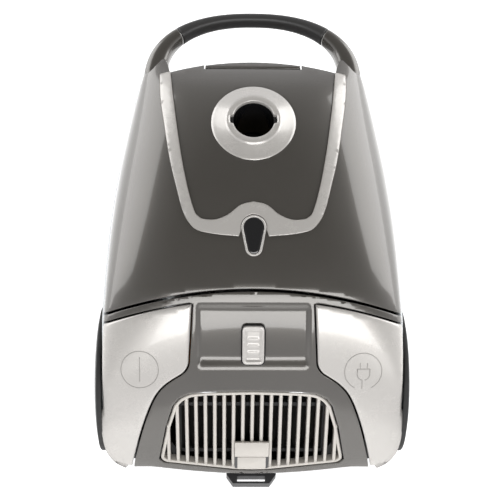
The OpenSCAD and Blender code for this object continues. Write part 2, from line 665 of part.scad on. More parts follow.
// ---- hose inlet and dust bag ----
inlet_p = at(0, 269.3, 0);
collar_top = at(0, 0, 219)[2];
collar_rise = 7;
collar_rim = collar_top + collar_rise;
tube_wall = 2;
tube_foot = at(0, 0, 168)[2];
module hose_collar() {
    r = inlet_d / 2 + 0.4;
    ro = collar_d / 2;
    color([0.8, 0.79, 0.77]) translate([inlet_p[0], inlet_p[1], 0]) difference() {
        rotate_extrude($fn = 96) polygon([[r, collar_rim - 4], [r, collar_rim - 0.6],
            [r + 0.8, collar_rim], [r + 5.5, collar_rim], [r + 6.6, collar_rim - 1.6],
            [ro - 2.5, collar_top], [ro, collar_top - 1], [ro, collar_top - 16], [ro - 2, collar_top - 16],
            [ro - 2, collar_top - 4], [r + 6, collar_top + 0.5], [r + 6, collar_rim - 4]]);
        for (s = [-1, 1]) translate([s > 0 ? r - 1 : -r - 3, -4.5, collar_top - 2]) cube([4, 9, 20]);
    }
}
module inlet_tube() {
    r = inlet_d / 2;
    top = collar_rim - 4.1;
    color([0.08, 0.08, 0.09]) translate([inlet_p[0], inlet_p[1], tube_foot]) difference() {
        union() {
            cylinder(r = r + tube_wall, h = top - tube_foot);
            translate([0, 0, collar_top - 12 - tube_foot]) cylinder(r = collar_d / 2 - 2.2, h = 3);
        }
        translate([0, 0, -1]) cylinder(r = r, h = top - tube_foot + 2);
    }
}
bag_plate_z = tube_foot - 6;
module inlet_seal() {
    r = inlet_d / 2 + tube_wall;
    color([0.1, 0.1, 0.1]) translate([inlet_p[0], inlet_p[1], bag_plate_z + 0.1]) difference() {
        cylinder(r = r + 4, h = 5.6);
        translate([0, 0, -1]) cylinder(r = r - 4, h = 8);
    }
}
module bag_collar() {
    color([0.75, 0.62, 0.42]) translate([inlet_p[0], inlet_p[1], bag_plate_z - 3]) difference() {
        translate([-45, -42, 0]) cube([90, 84, 3]);
        translate([0, 0, -1]) cylinder(r = inlet_d / 2, h = 5);
    }
}
holder_x = at(102, 0, 0)[0];
module bag_holder() {
    foot = floor_z + wall + 0.05;
    plate = bag_plate_z - 5.1;
    color([0.2, 0.35, 0.5]) translate([inlet_p[0], inlet_p[1], 0]) {
        translate([0, 0, plate]) difference() {
            union() {
                translate([-49, -46, 0]) cube([98, 92, 2]);
                translate([-holder_x, -8, 0]) cube([2 * holder_x, 16, 2]);
            }
            translate([-40, -37, -1]) cube([80, 74, 4]);
        }
        for (s = [-1, 1]) translate([s * (holder_x - 2) - 2, -8, foot]) cube([4, 16, plate - foot + 1]);
        for (s = [-1, 1]) translate([s * 47.2 - 1.8, -46, plate + 1]) cube([3.6, 92, 5]);
    }
}
bag_half = [86, 64, 45];
bag_round = 22;
module dust_bag() {
    color([0.85, 0.76, 0.6]) translate([inlet_p[0], inlet_p[1] - 2, bag_plate_z - 5.6 - bag_half[2]]) hull()
        for (z = [-1, 1]) for (x = [-1, 1]) for (y = [-1, 1])
            translate([x * (bag_half[0] * kx - bag_round), y * (bag_half[1] - bag_round),
                z * (bag_half[2] - bag_round)])
                sphere(r = bag_round, $fn = 20);
}

// ---- lid ----
hinge_p = at(0, 130, 188);
hinge_r = 1.5;
latch_x = 44;
latch_v = 391;                              // the release lever is the lid's front lip
indicator_v = 236.5;
indicator_tilt = 19;
function front_v(q) = q < 0.75 ? 397.5 - 10.5 * pow(q / 0.75, 2) : 387 + 7 * (q - 0.75) / 0.25;
module lid_skin() {
    rows = 26;
    cols = 34;
    function a_of(j) = mix(-90, 90, j / cols);
    function v_of(i, a) = mix(lid_edge_v(a), front_v(pow(sin(abs(a)), 2 / bow)), i / rows);
    function grid(t) = [for (i = [0:rows]) [for (j = [0:cols]) by_angle(a_of(j), v_of(i, a_of(j)), t)]];
    between(grid(0), grid(wall));
}
// Carrying handle: a bow that grows out of the lid's sides
handle_round = 2.3;
function handle_p(a) =                       // a: 0 at the middle of the grip, 90 at the root
    let (s = pow(sin(abs(a)), 2 / handle_round), c = pow(cos(a), 2 / handle_round))
    [sign(a) * 90 * s, 338 + 58 * c, 182 + 11.5 * c, c];
function handle_ring(a, cut = 0) =
    let (p = handle_p(a), q = handle_p(a + 0.5), o = handle_p(a - 0.5),
        d = [q[0] - o[0], q[1] - o[1]], n = [d[1], -d[0]] / norm(d), wide = mix(12, 5, p[3]) - cut,
        tall = mix(13, 8, p[3]) - cut)
    [for (k = [0:15]) let (u = k * 22.5, e = pow(abs(cos(u)), 0.75) * sign(cos(u)),
        f = pow(abs(sin(u)), 0.75) * sign(sin(u)))
        at(p[0] + n[0] * wide * e, p[1] + n[1] * wide * e, p[2] + tall * f)];
grip_a = 47;
module handle_arm() {
    tube([for (i = [0:7]) handle_ring(mix(88, grip_a, i / 7))]);
}
module lid_shell() {
    color([0.4, 0.39, 0.38]) moulded() {
        difference() {
            union() {
                lid_skin();
                handle_arm();
                mirror([1, 0, 0]) handle_arm();
            }
            translate([inlet_p[0], inlet_p[1], 100]) cylinder(r = collar_d / 2 + 0.15, h = 200);
            indicator_cut(0.15, 40);
            latch_prism(latch_x + 1, latch_v - 1.4, 410, -30, 30);
        }
        for (s = [-1, 1]) for (x = [-4.2, 2.2]) latch_ear(s * latch_pin_x + x);
    }
}
knuckle_x = 38;
knuckle_l = 8;
module lid_hinge() {
    color([0.25, 0.25, 0.26]) for (s = [-1, 1]) difference() {
        x0 = s > 0 ? knuckle_x : -knuckle_x - knuckle_l;
        union() {
            along_x([x0, hinge_p[1], hinge_p[2]], 2.6, knuckle_l);
            hinge_lug(x0, x0 + knuckle_l, 198.5, 201.5);
        }
        along_x([-60, hinge_p[1], hinge_p[2]], hinge_r + fit, 120);
    }
}
module hinge_lug(x0, x1, v0, v1) {
    top = [for (c = [[x0, v0], [x1, v0], [x1, v1], [x0, v1]]) skin(c[0] / kx, c[1], wall + 0.3)];
    block8(concat([for (p = top) [p[0], p[1], hinge_p[2] + 1]], top));
}
module latch_prism(x, v0, v1, d0, d1) {
    foot = skin_w(0, min(v1, 397));
    block8([for (w = [d1, d0]) for (p = [[-x, v0], [x, v0], [x, v1], [-x, v1]])
        world(p[0], p[1], foot - w)]);
}
module latch_ear(x) {
    back = skin(abs(x) + 1, 384, wall * 0.7);
    edge = skin(abs(x) + 1, latch_v - 2.2, wall * 0.7);
    p = latch_p;
    translate([x, 0, 0]) rotate([90, 0, 90]) linear_extrude(2) difference() {
        polygon([[back[1], back[2]], [edge[1], edge[2]], [p[1] - 2.8, p[2] + 1.8], [p[1] + 2.2, p[2] + 0.8],
            [p[1] + 2.6, p[2] - 2.6], [p[1] - 2.6, p[2] - 2.6]]);
        translate([p[1], p[2]]) circle(r = 1.6, $fn = 24);
    }
}
module handle_grip() {
    color([0.2, 0.2, 0.21]) tube([for (i = [0:20]) handle_ring(mix(grip_a - 0.3, -grip_a + 0.3, i / 20))]);
}
module lid_latch() {
    rows = 4;
    cols = 10;
    function grid(t) = [for (i = [0:rows]) [for (j = [0:cols]) let (x = mix(-latch_x, latch_x, j / cols))
        skin(x, mix(latch_v, front_v(abs(x) / 100) - 0.2, i / rows), t)]];
    color([0.3, 0.29, 0.28]) {
        between(grid(0), grid(wall));
        translate([-9, hook_y, hook_z]) cube([18, 3, skin(0, latch_v + 0.8, wall)[2] - hook_z]);
        for (s = [-1, 1]) {
            latch_lug(s * latch_pin_x, latch_v + 0.6, latch_v + 4);
            along_x([s * latch_pin_x - 4.5, latch_p[1], latch_p[2]], 1.2, 9);
        }
    }
}
hook_y = skin(0, latch_v + 0.8, wall)[1] - 1.5;
// The lever turns on two pins, each held on both sides by an ear below the lid
latch_pin_x = 26;
latch_p = skin(latch_pin_x, latch_v + 1.5, wall + 4);
module latch_lug(x, v0, v1) {
    top = [for (c = [[x - 1.5, v0], [x + 1.5, v0], [x + 1.5, v1], [x - 1.5, v1]])
        skin(c[0], c[1], wall * 0.6)];
    block8(concat([for (p = top) [p[0], p[1], latch_p[2] - 1.6]], top));
}
hook_z = at(0, 0, 156)[2];
module latch_spring() {
    color("silver") translate(skin(0, 384, wall + 1)) translate([-16, -2, -3.2]) cube([32, 8, 0.6]);
}
module lid_catch() {
    front = at(0, 344, 0)[1];
    color([0.3, 0.3, 0.31]) difference() {
        translate([-14, hook_y - 5, hook_z + 1.5]) cube([28, front - hook_y + 5, 3]);
        translate([-10.5, hook_y - 0.6, hook_z]) cube([21, front - hook_y - 0.7, 8]);
    }
}
// The pins of the lid stand on ears that hang from the rear cover and pass below the lid's edge
ear = [[114.2, 176.6], [111.9, 181.6], [117, 184], [118.5, 176], [128, 175], [128, 188.6], [129.2, 189.7],
    [132, 189.7], [133, 172], [114.2, 172]];
module hinge_pins() {
    color("silver") for (s = [-1, 1]) {
        along_x([s > 0 ? 36 : -48, hinge_p[1], hinge_p[2]], hinge_r, 12);
        for (x = [34, 46.4]) translate([s > 0 ? x : -x - 3.4, 0, 0]) rotate([90, 0, 90]) linear_extrude(3.4)
            polygon([for (p = ear) [at(0, p[0], 0)[1], at(0, 0, p[1])[2]]]);
    }
}
// Silver band: a U on the lid, open towards the handle
band_out = [[85.4, 384], [84, 361], [79.3, 332.5], [74, 303], [68, 279], [61.5, 256], [54.3, 244],
    [46.5, 239], [32, 236.3], [20, 235.2], [10, 234.4], [0, 234.2]];
band_in = [[75.5, 386], [71.5, 357], [67.5, 330], [63, 303], [57.5, 277], [51.8, 257.5], [48, 252],
    [43, 249.6], [33, 249.3], [22.4, 253.5], [11.5, 262], [0, 265]];
band_steps = 26;
// Point t steps along half of the band's border
function border(l, t) = [along([for (i = [0:len(l) - 1]) [i, l[i][0]]], t),
    along([for (i = [0:len(l) - 1]) [i, l[i][1]]], t)];
module lid_trim() {
    last = len(band_out) - 1;
    function row(k, d) = let (t = last * (1 - abs(k) / band_steps), s = k < 0 ? -1 : 1,
        o = border(band_out, t), i = border(band_in, t))
        [for (j = [0:3]) let (p = mix(i, o, j / 3)) skin(s * p[0], p[1], d)];
    function grid(d) = [for (k = [-band_steps:band_steps]) row(k, d)];
    color([0.8, 0.79, 0.77]) moulded() difference() {
        between(grid(-1.6), grid(-0.3));
        indicator_cut(0.2, 40);
    }
}
// Bag-full window: an egg-shaped lens in a bezel
module egg(more) {
    hull() {
        translate([0, 6]) circle(r = 11 + more, $fn = 40);
        translate([0, -11.5]) circle(r = 6.5 + more, $fn = 40);
    }
}
module in_window() {
    translate(skin(0, indicator_v)) rotate([indicator_tilt, 0, 0]) children();
}
module indicator_cut(more, deep) {
    in_window() translate([0, 0, -deep / 2]) linear_extrude(deep) egg(more);
}
module indicator_bezel() {
    color([0.8, 0.79, 0.77]) in_window() translate([0, 0, -6]) linear_extrude(7.8) difference() {
        egg(0);
        egg(-2);
    }
}
module indicator_lens() {
    color([0.05, 0.05, 0.06]) in_window() translate([0, 0, -3]) linear_extrude(3.8) egg(-2.1);
}
module indicator_flag() {
    color("red") in_window() translate([-3.6, -9, -6.2]) cube([7.2, 8, 1.6]);
}

base_shell();
bumper_strip();
rear_cover();
bulkhead();
motor_filter();
fan_shroud();
motor_stator();
motor_mounts();
brush_holders();
motor_bearings();
armature();
impeller();
cord_reel();
reel_axle();
reel_bracket();
reel_spring();
brake_lever();
control_board();
power_switch();
switch_plunger();
slider_pot();
pedal_springs();
housing_screws();
cord_outlet();
hepa_frame();
hepa_media();
wheel_left();
wheel_right();
tyre_left();
tyre_right();
wheel_axles();
caster_fork();
caster_wheel();
caster_axle();
dust_bag();
bag_collar();
bag_holder();
lid_shell();
lid_trim();
hose_collar();
inlet_tube();
inlet_seal();
indicator_bezel();
indicator_lens();
indicator_flag();
handle_grip();
lid_latch();
latch_spring();
lid_catch();
hinge_pins();
lid_hinge();
wheel_bushes();
caster_socket();
power_pedal();
rewind_pedal();
suction_slider();
exhaust_grille();
grille_latch();
grille_pins();
parking_bracket();
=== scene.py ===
# %% [markdown]
# # A canister vacuum cleaner, from CAD part to picture
# The CAD part is loaded first and stays where it is. Smooth covers are then built over the same
# formulas that shape the CAD covers, each riding on its CAD body. Lengths are in millimetres until
# a mesh is made, and in metres in the scene.

# %% Load the frame
import math

import bmesh
import bpy
import numpy as np
from mathutils import Matrix, Vector
from mathutils.geometry import delaunay_2d_cdt

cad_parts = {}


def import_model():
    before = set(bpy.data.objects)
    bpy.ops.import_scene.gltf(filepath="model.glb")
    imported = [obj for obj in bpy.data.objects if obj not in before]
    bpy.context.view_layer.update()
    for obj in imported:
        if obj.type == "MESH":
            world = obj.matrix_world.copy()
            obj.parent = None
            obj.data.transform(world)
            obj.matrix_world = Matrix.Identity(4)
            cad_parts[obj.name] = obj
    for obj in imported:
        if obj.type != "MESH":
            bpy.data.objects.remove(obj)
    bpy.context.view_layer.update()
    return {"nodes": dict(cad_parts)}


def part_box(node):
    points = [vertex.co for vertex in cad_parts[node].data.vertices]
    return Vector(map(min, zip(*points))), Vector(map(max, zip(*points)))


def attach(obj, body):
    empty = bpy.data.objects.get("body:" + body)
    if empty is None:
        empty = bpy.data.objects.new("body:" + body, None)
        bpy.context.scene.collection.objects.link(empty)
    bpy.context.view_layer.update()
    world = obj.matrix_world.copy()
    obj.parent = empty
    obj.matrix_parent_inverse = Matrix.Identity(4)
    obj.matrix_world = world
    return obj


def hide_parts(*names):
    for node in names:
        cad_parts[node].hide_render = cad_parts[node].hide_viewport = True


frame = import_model()

# %% [markdown]
# ## The skin
# The covers share one outer skin: a height field over a draw plane that leans 65 degrees. Its edge,
# its crown and the roundness between them are curves along the plane.

# %% The skin as functions
MM = 0.001
WELD = 1e-6                     # points of a new mesh this close, in metres, are one
WALL_WELD = 2e-5                # the same for a CAD wall, which is made of facets
DRAW = math.radians(65)
SD, CD = math.sin(DRAW), math.cos(DRAW)
MID_Y = 196.0
BOW = 2.5
EDGE_X = [[16, 103], [22, 111], [31, 123], [45, 130.5], [75, 133], [110, 133.5], [187, 131.5],
          [242, 128.5], [292, 122.5], [335, 114.5], [364, 108], [382, 103.5], [400, 98]]
EDGE_W = [[16, 38], [22, 43], [31, 55], [45, 67], [75, 83], [105, 91.5], [135, 92.5], [158, 89],
          [187, 78], [242, 55], [292, 37], [335, 26], [364, 22], [382, 20.5], [400, 18]]
CROWN_W = [[16, 37.5], [22, 42.5], [45, 60], [70, 78], [97, 94.7], [119, 104.5], [150, 115],
           [178, 121.2], [190, 122.4], [222, 120.5], [255, 114.5], [300, 101], [340, 84],
           [372, 64], [400, 37]]


def along(table, v):
    """Smooth curve through [v, value] stations."""
    t = np.asarray(table, float)
    x, y = t[:, 0], t[:, 1]
    s = np.empty(len(x))
    s[1:-1] = (y[2:] - y[:-2]) / (x[2:] - x[:-2])
    s[0], s[-1] = (y[1] - y[0]) / (x[1] - x[0]), (y[-1] - y[-2]) / (x[-1] - x[-2])
    v = np.asarray(v, float)
    i = np.clip(np.searchsorted(x, v, side="right") - 1, 0, len(x) - 2)
    h = x[i + 1] - x[i]
    u = (v - x[i]) / h
    return ((1 + 2 * u) * (1 - u) ** 2 * y[i] + u * u * (3 - 2 * u) * y[i + 1]
            + h * u * (1 - u) ** 2 * s[i] - h * u * u * (1 - u) * s[i + 1])


def world(x, v, w):
    """Draw plane coordinates to the row frame, in mm."""
    x, v, w = np.broadcast_arrays(np.asarray(x, float), v, w)
    return np.stack([x, SD * v - CD * w - MID_Y, CD * v + SD * w], -1)


def by_angle(a, v):
    """Point of the skin at angle a from the crown (radians, signed)."""
    a, v = np.broadcast_arrays(np.asarray(a, float), np.asarray(v, float))
    x = np.sign(a) * along(EDGE_X, v) * np.abs(np.sin(a)) ** (2 / BOW)
    e, c = along(EDGE_W, v), along(CROWN_W, v)
    return world(x, v, e + (c - e) * np.clip(np.cos(a), 0, 1) ** (2 / BOW))


def angle_at(x, v):
    q = np.clip(np.abs(x) / along(EDGE_X, v), 0, 1)
    return np.sign(x) * np.arcsin(q ** (BOW / 2))


# Arc length U across the skin, so that outlines can be offset by true distances
V_GRID = np.arange(10, 404, 2.0)
A_GRID = np.radians(np.linspace(0, 90, 241))
_p = by_angle(A_GRID[None, :], V_GRID[:, None])
ARC = np.concatenate([np.zeros((len(V_GRID), 1)),
                      np.cumsum(np.linalg.norm(np.diff(_p, axis=1), axis=2), axis=1)], axis=1)


def arc_row(v):
    i = min(max(int((v - V_GRID[0]) / 2), 0), len(V_GRID) - 2)
    t = (v - V_GRID[i]) / 2
    return ARC[i] * (1 - t) + ARC[i + 1] * t


def to_u(x, v):
    return math.copysign(np.interp(abs(float(angle_at(x, v))), A_GRID, arc_row(v)), x)


def from_u(u, v):
    row = arc_row(v)
    return math.copysign(np.interp(min(abs(u), row[-1]), row, A_GRID), u)


def on_skin(uv, depth):
    """Points on the skin at (u, v), sunk by depth along the surface normal, in mm."""
    uv = np.asarray(uv, float).reshape(-1, 2)
    a = np.array([from_u(u, v) for u, v in uv])
    lim = math.radians(89.2)
    ac = np.clip(a, -lim, lim)
    v = uv[:, 1]
    da = by_angle(ac + 0.004, v) - by_angle(ac - 0.004, v)
    dv = by_angle(ac, v + 0.8) - by_angle(ac, v - 0.8)
    n = np.cross(da, dv)
    n /= np.linalg.norm(n, axis=1)[:, None]
    return by_angle(a, v) - n * np.asarray(depth, float).reshape(-1, 1), n


print("skin crown height:", round(float(by_angle(0, 255)[2]), 1), "mm")

# %% [markdown]
# ## Mesh helpers
# A panel is an outline on the skin with a rounded rim, a wall below it and a fine triangle fill. A
# sweep joins rings of points, and a lathe turns a profile about an axis.

# %% Mesh helpers
def mesh_object(name, verts, faces, mat):
    """A welded mesh from points in mm."""
    me = bpy.data.meshes.new(name)
    me.from_pydata([tuple(v) for v in np.asarray(verts) * MM], [], faces)
    me.materials.append(mat)
    me.polygons.foreach_set("use_smooth", [True] * len(me.polygons))
    me.validate()
    bm = bmesh.new()
    bm.from_mesh(me)
    bmesh.ops.remove_doubles(bm, verts=bm.verts, dist=WELD)
    bmesh.ops.recalc_face_normals(bm, faces=bm.faces)
    bm.to_mesh(me)
    bm.free()
    ob = bpy.data.objects.new(name, me)
    bpy.context.scene.collection.objects.link(ob)
    return ob


def resample(points, step):
    """Closed outline with points about a step apart; its own corners are kept."""
    out = []
    for p, q in zip(points, points[1:] + points[:1]):
        n = max(1, int(round(math.dist(p, q) / step)))
        out += [[p[0] + (q[0] - p[0]) * i / n, p[1] + (q[1] - p[1]) * i / n] for i in range(n)]
    return out


SLIGHT_BEND = 0.35              # radians


def round_corners(points, radius):
    """Outline with its sharp corners rounded; slight bends stay."""
    out = []
    n = len(points)
    for i in range(n):
        a, b, c = (np.array(points[(i + k) % n], float) for k in (-1, 0, 1))
        da, dc = a - b, c - b
        la, lc = np.linalg.norm(da), np.linalg.norm(dc)
        bend = math.acos(max(-1, min(1, float(-(da @ dc) / (la * lc)))))
        if bend < SLIGHT_BEND:
            out.append(list(b))
            continue
        r = min(radius, la * 0.45, lc * 0.45)
        p, q = b + da / la * r, b + dc / lc * r
        for t in np.linspace(0, 1, 6):
            out.append(list((1 - t) ** 2 * p + 2 * t * (1 - t) * b + t * t * q))
    return out


def area(points):
    p = np.asarray(points)
    q = np.roll(p, -1, 0)
    return float((p[:, 0] * q[:, 1] - q[:, 0] * p[:, 1]).sum() / 2)


def inset(points, d):
    """Outline moved inwards by d (outline runs anticlockwise)."""
    p = np.asarray(points, float)
    e = np.roll(p, -1, 0) - p
    e /= np.maximum(np.linalg.norm(e, axis=1), 1e-9)[:, None]
    n = np.stack([-e[:, 1], e[:, 0]], 1)
    m = n + np.roll(n, 1, 0)
    m /= np.maximum(np.linalg.norm(m, axis=1), 1e-9)[:, None]
    k = np.clip((m * n).sum(1), 0.55, 1)
    return p + m * (d / k)[:, None]


def inside(pts, poly):
    """Which points lie in the outline."""
    pts, poly = np.asarray(pts, float), np.asarray(poly, float)
    x, y = pts[:, 0:1], pts[:, 1:2]
    x0, y0 = poly[:, 0], poly[:, 1]
    x1, y1 = np.roll(x0, -1), np.roll(y0, -1)
    hit = ((y0 > y) != (y1 > y)) & (x < (x1 - x0) * (y - y0) / (y1 - y0 + 1e-12) + x0)
    return hit.sum(1) % 2 == 1


def near(pts, poly, d):
    """Which points lie closer than d to the outline's points."""
    pts, poly = np.asarray(pts, float), np.asarray(poly, float)
    out = np.zeros(len(pts), bool)
    for i in range(0, len(pts), 400):
        q = pts[i:i + 400]
        out[i:i + 400] = np.linalg.norm(q[:, None] - poly[None], axis=2).min(1) < d
    return out


def panel(name, outline, mat, wall=2.4, rim=1.2, lift=0.0, holes=(), step=1.8, fill=4.0,
          top=None, under=True):
    """Cover with a rounded rim. Outline and holes are lists of [x, v] on the skin, in mm."""
    loops = [outline, *holes]
    verts, faces, inner = [], [], []
    depth_fn = top or (lambda uv: 0.0)
    for k, loop in enumerate(loops):
        uv = resample([[to_u(x, v), v] for x, v in loop], step)
        if (area(uv) > 0) != (k == 0):
            uv = uv[::-1]
        rings = [(0, wall), (0, rim), (rim * 0.12, rim * 0.5), (rim * 0.42, rim * 0.16),
                 (rim, 0.0)]
        if under:
            rings.insert(0, (2.0, wall))
        base = []
        for d, depth in rings:
            r = inset(uv, d)
            pts, _ = on_skin(r, np.full(len(r), depth - lift) - (depth_fn(r) if depth == 0 else 0))
            base.append(len(verts))
            verts += list(pts)
        n = len(uv)
        for a, b in zip(base, base[1:]):
            faces += [(a + i, a + (i + 1) % n, b + (i + 1) % n, b + i) for i in range(n)]
        inner.append((inset(uv, rim), base[-1], n))
    # staggered points inside the outline, clear of its rim
    lo, hi = inner[0][0].min(0), inner[0][0].max(0)
    us = np.arange(lo[0], hi[0], fill)
    vs = np.arange(lo[1], hi[1], fill)
    g = np.array([[u + (fill / 2 if j % 2 else 0), v] for j, v in enumerate(vs) for u in us])
    keep = inside(g, inner[0][0]) & ~near(g, inner[0][0], fill * 0.45)
    for ring, _, _ in inner[1:]:
        keep &= ~inside(g, ring) & ~near(g, ring, fill * 0.45)
    g = g[keep]
    pts2, edges = [], []
    ids = []
    for ring, base, n in inner:
        s = len(pts2)
        pts2 += [Vector(p) for p in ring]
        ids += list(range(base, base + n))
        edges += [(s + i, s + (i + 1) % n) for i in range(n)]
    s = len(verts)
    gp, _ = on_skin(g, np.full(len(g), -lift) - depth_fn(g))
    verts += list(gp)
    ids += list(range(s, s + len(g)))
    pts2 += [Vector(p) for p in g]
    cv, _, cf, came_from, _, _ = delaunay_2d_cdt(pts2, edges, [], 0, 1e-5)
    first = [ids[o[0]] if o else None for o in came_from]
    for f in cf:
        c = sum((cv[i] for i in f), Vector((0, 0))) / len(f)
        if any(first[i] is None for i in f):
            continue
        if not inside([c], inner[0][0])[0] or any(inside([c], r)[0] for r, _, _ in inner[1:]):
            continue
        faces.append(tuple(first[i] for i in f))
    return mesh_object(name, verts, faces, mat)


def sweep(name, rings, mat, closed=False, caps=True):
    """Joins rings of points into a tube, with or without end caps."""
    n, m = len(rings), len(rings[0])
    verts = [p for r in rings for p in r]
    faces = [(i * m + j, i * m + (j + 1) % m, (i + 1) * m + (j + 1) % m, (i + 1) * m + j)
             for i in range(n - 1) for j in range(m)]
    if closed:
        faces += [((n - 1) * m + j, (n - 1) * m + (j + 1) % m, (j + 1) % m, j) for j in range(m)]
    elif caps:
        faces += [tuple(range(m)), tuple((n - 1) * m + j for j in range(m - 1, -1, -1))]
    return mesh_object(name, verts, faces, mat)


def lathe(name, profile, mat, centre, axis, steps=128, radius=None):
    """Profile of (radius, along) turned about axis 'x' or 'z' (mirrored with '-x')."""
    rings = []
    for i in range(steps):
        t = 2 * math.pi * i / steps
        ring = []
        for k, (r, h) in enumerate(profile):
            if radius:
                r = radius(k, r, t)
            c, s = r * math.cos(t), r * math.sin(t)
            p = {"x": (h, c, s), "-x": (-h, c, s), "z": (c, s, h)}[axis]
            ring.append([centre[0] + p[0], centre[1] + p[1], centre[2] + p[2]])
        rings.append(ring)
    n, m = steps, len(profile)
    verts = [p for r in rings for p in r]
    faces = [(i * m + j, ((i + 1) % n) * m + j, ((i + 1) % n) * m + j + 1, i * m + j + 1)
             for i in range(n) for j in range(m - 1)]
    return mesh_object(name, verts, faces, mat)


def soften(ob, width, segments=2, angle=32):
    """Small rounded edges by a modifier, with weighted normals."""
    b = ob.modifiers.new("edges", "BEVEL")
    b.width, b.segments = width * MM, segments
    b.limit_method, b.angle_limit = "ANGLE", math.radians(angle)
    b.harden_normals = True
    w = ob.modifiers.new("normals", "WEIGHTED_NORMAL")
    w.keep_sharp = True
    return ob


print("helpers ready")

# %% [markdown]
# ## Materials
# Each material is a small graph: noise in the object's own coordinates varies the colour, the gloss
# and the fine relief, so nothing is one flat value.

# %% Socket arithmetic and materials
class Sock:
    """A node socket with ordinary arithmetic."""

    def __init__(self, tree, out):
        self.t, self.o = tree, out

    def _math(self, op, other, flip=False):
        n = self.t.nodes.new("ShaderNodeMath")
        n.operation = op
        pair = (other, self) if flip else (self, other)
        for i, v in enumerate(pair):
            if isinstance(v, Sock):
                self.t.links.new(v.o, n.inputs[i])
            else:
                n.inputs[i].default_value = v
        return Sock(self.t, n.outputs[0])

    def __add__(self, v): return self._math("ADD", v)
    def __radd__(self, v): return self._math("ADD", v, True)
    def __sub__(self, v): return self._math("SUBTRACT", v)
    def __rsub__(self, v): return self._math("SUBTRACT", v, True)
    def __mul__(self, v): return self._math("MULTIPLY", v)
    def __rmul__(self, v): return self._math("MULTIPLY", v, True)
    def __truediv__(self, v): return self._math("DIVIDE", v)
    def __rtruediv__(self, v): return self._math("DIVIDE", v, True)
    def __pow__(self, v): return self._math("POWER", v)


class Graph:
    """One material's node tree."""

    def __init__(self, name):
        self.mat = bpy.data.materials.new(name)
        self.mat.use_nodes = True
        self.t = self.mat.node_tree
        self.bsdf = self.t.nodes["Principled BSDF"]
        self.obj = self.node("ShaderNodeTexCoord", out="Object")

    def node(self, kind, settings=None, out=0, **values):
        """Any node: its settings by name, its inputs by label."""
        n = self.t.nodes.new(kind)
        for k, v in (settings or {}).items():
            setattr(n, k, v)
        for k, v in values.items():
            s = n.inputs[k.replace("_", " ")]
            if isinstance(v, Sock):
                self.t.links.new(v.o, s)
            else:
                s.default_value = v
        return Sock(self.t, n.outputs[out])

    def noise(self, scale, detail=3.0, rough=0.5):
        return self.node("ShaderNodeTexNoise", Vector=self.obj, Scale=scale, Detail=detail,
                         Roughness=rough)

    def blend(self, factor, a, b):
        n = self.t.nodes.new("ShaderNodeMix")
        n.data_type = "RGBA"
        n.clamp_factor = True
        self.t.links.new(factor.o, n.inputs[0])
        for i, v in ((6, a), (7, b)):
            if isinstance(v, Sock):
                self.t.links.new(v.o, n.inputs[i])
            else:
                n.inputs[i].default_value = (*v, 1)
        return Sock(self.t, n.outputs[2])

    def set(self, name, value):
        s = self.bsdf.inputs[name]
        if isinstance(value, Sock):
            self.t.links.new(value.o, s)
        else:
            s.default_value = (*value, 1) if isinstance(value, tuple) and len(value) == 3 else value
        return self

    def bump(self, height, strength, distance=0.0002):
        self.set("Normal", self.node("ShaderNodeBump", Height=height, Strength=strength,
                                     Distance=distance))
        return self


def plastic(name, dark, light, rough=0.3, spread=0.08, grain=900.0, relief=0.03, metal=0.0, coat=0.0,
            flake=0.0):
    """Moulded or lacquered plastic: soft tone clouds, fine grain, uneven gloss."""
    g = Graph(name)
    cloud = g.noise(9.0, 4.0)
    fine = g.noise(grain, 2.0)
    tone = cloud * 0.6 + fine * (0.4 + flake)
    g.set("Base Color", g.blend(tone * 1.6 - 0.3, dark, light))
    g.set("Roughness", rough - spread / 2 + (g.noise(40.0, 5.0) * 0.6 + fine * 0.4) * spread)
    g.set("Metallic", metal)
    g.set("Coat Weight", coat)
    g.set("Coat Roughness", 0.06)
    g.bump(fine * 0.5 + g.noise(grain * 0.3, 2.0) * 0.5, relief)
    return g.mat


GREY = plastic("lacquer_grey", (0.062, 0.057, 0.050), (0.096, 0.089, 0.080), 0.24, 0.05, 2600, 0.012,
               metal=0.45, coat=1.0, flake=0.3)
SILVER = plastic("lacquer_silver", (0.44, 0.42, 0.395), (0.54, 0.52, 0.495), 0.27, 0.06, 2600, 0.012,
                 metal=0.30, coat=0.55, flake=0.3)
MARK = plastic("mark_grey", (0.24, 0.23, 0.215), (0.32, 0.31, 0.29), 0.35, 0.06, 2200, 0.02, metal=0.2)
SATIN = plastic("satin_silver", (0.50, 0.47, 0.43), (0.60, 0.57, 0.53), 0.38, 0.08, 2000, 0.02,
                metal=0.15, coat=0.2)
STRIP = plastic("strip_silver", (0.45, 0.47, 0.48), (0.58, 0.60, 0.61), 0.30, 0.06, 2000, 0.015,
                metal=0.3, coat=0.4)
BASE = plastic("moulded_dark", (0.020, 0.020, 0.021), (0.032, 0.032, 0.033), 0.48, 0.14, 700, 0.12)
GRIP = plastic("grip_dark", (0.026, 0.025, 0.025), (0.040, 0.039, 0.038), 0.42, 0.10, 1100, 0.08)
BLACK = plastic("gloss_black", (0.006, 0.006, 0.007), (0.012, 0.012, 0.013), 0.12, 0.05, 1500, 0.01,
                coat=0.6)
WHEEL = plastic("wheel_dark", (0.020, 0.024, 0.027), (0.032, 0.037, 0.041), 0.30, 0.10, 1200, 0.04,
                coat=0.3)
RUBBER = plastic("rubber", (0.012, 0.012, 0.012), (0.022, 0.022, 0.022), 0.72, 0.16, 500, 0.25)
WHITE = plastic("moulded_white", (0.62, 0.62, 0.60), (0.72, 0.72, 0.70), 0.45, 0.10, 900, 0.06)
BLUE = plastic("moulded_blue", (0.05, 0.12, 0.20), (0.08, 0.17, 0.27), 0.45, 0.10, 900, 0.06)
RED = plastic("signal_red", (0.55, 0.03, 0.02), (0.68, 0.05, 0.03), 0.35, 0.08, 900, 0.04)
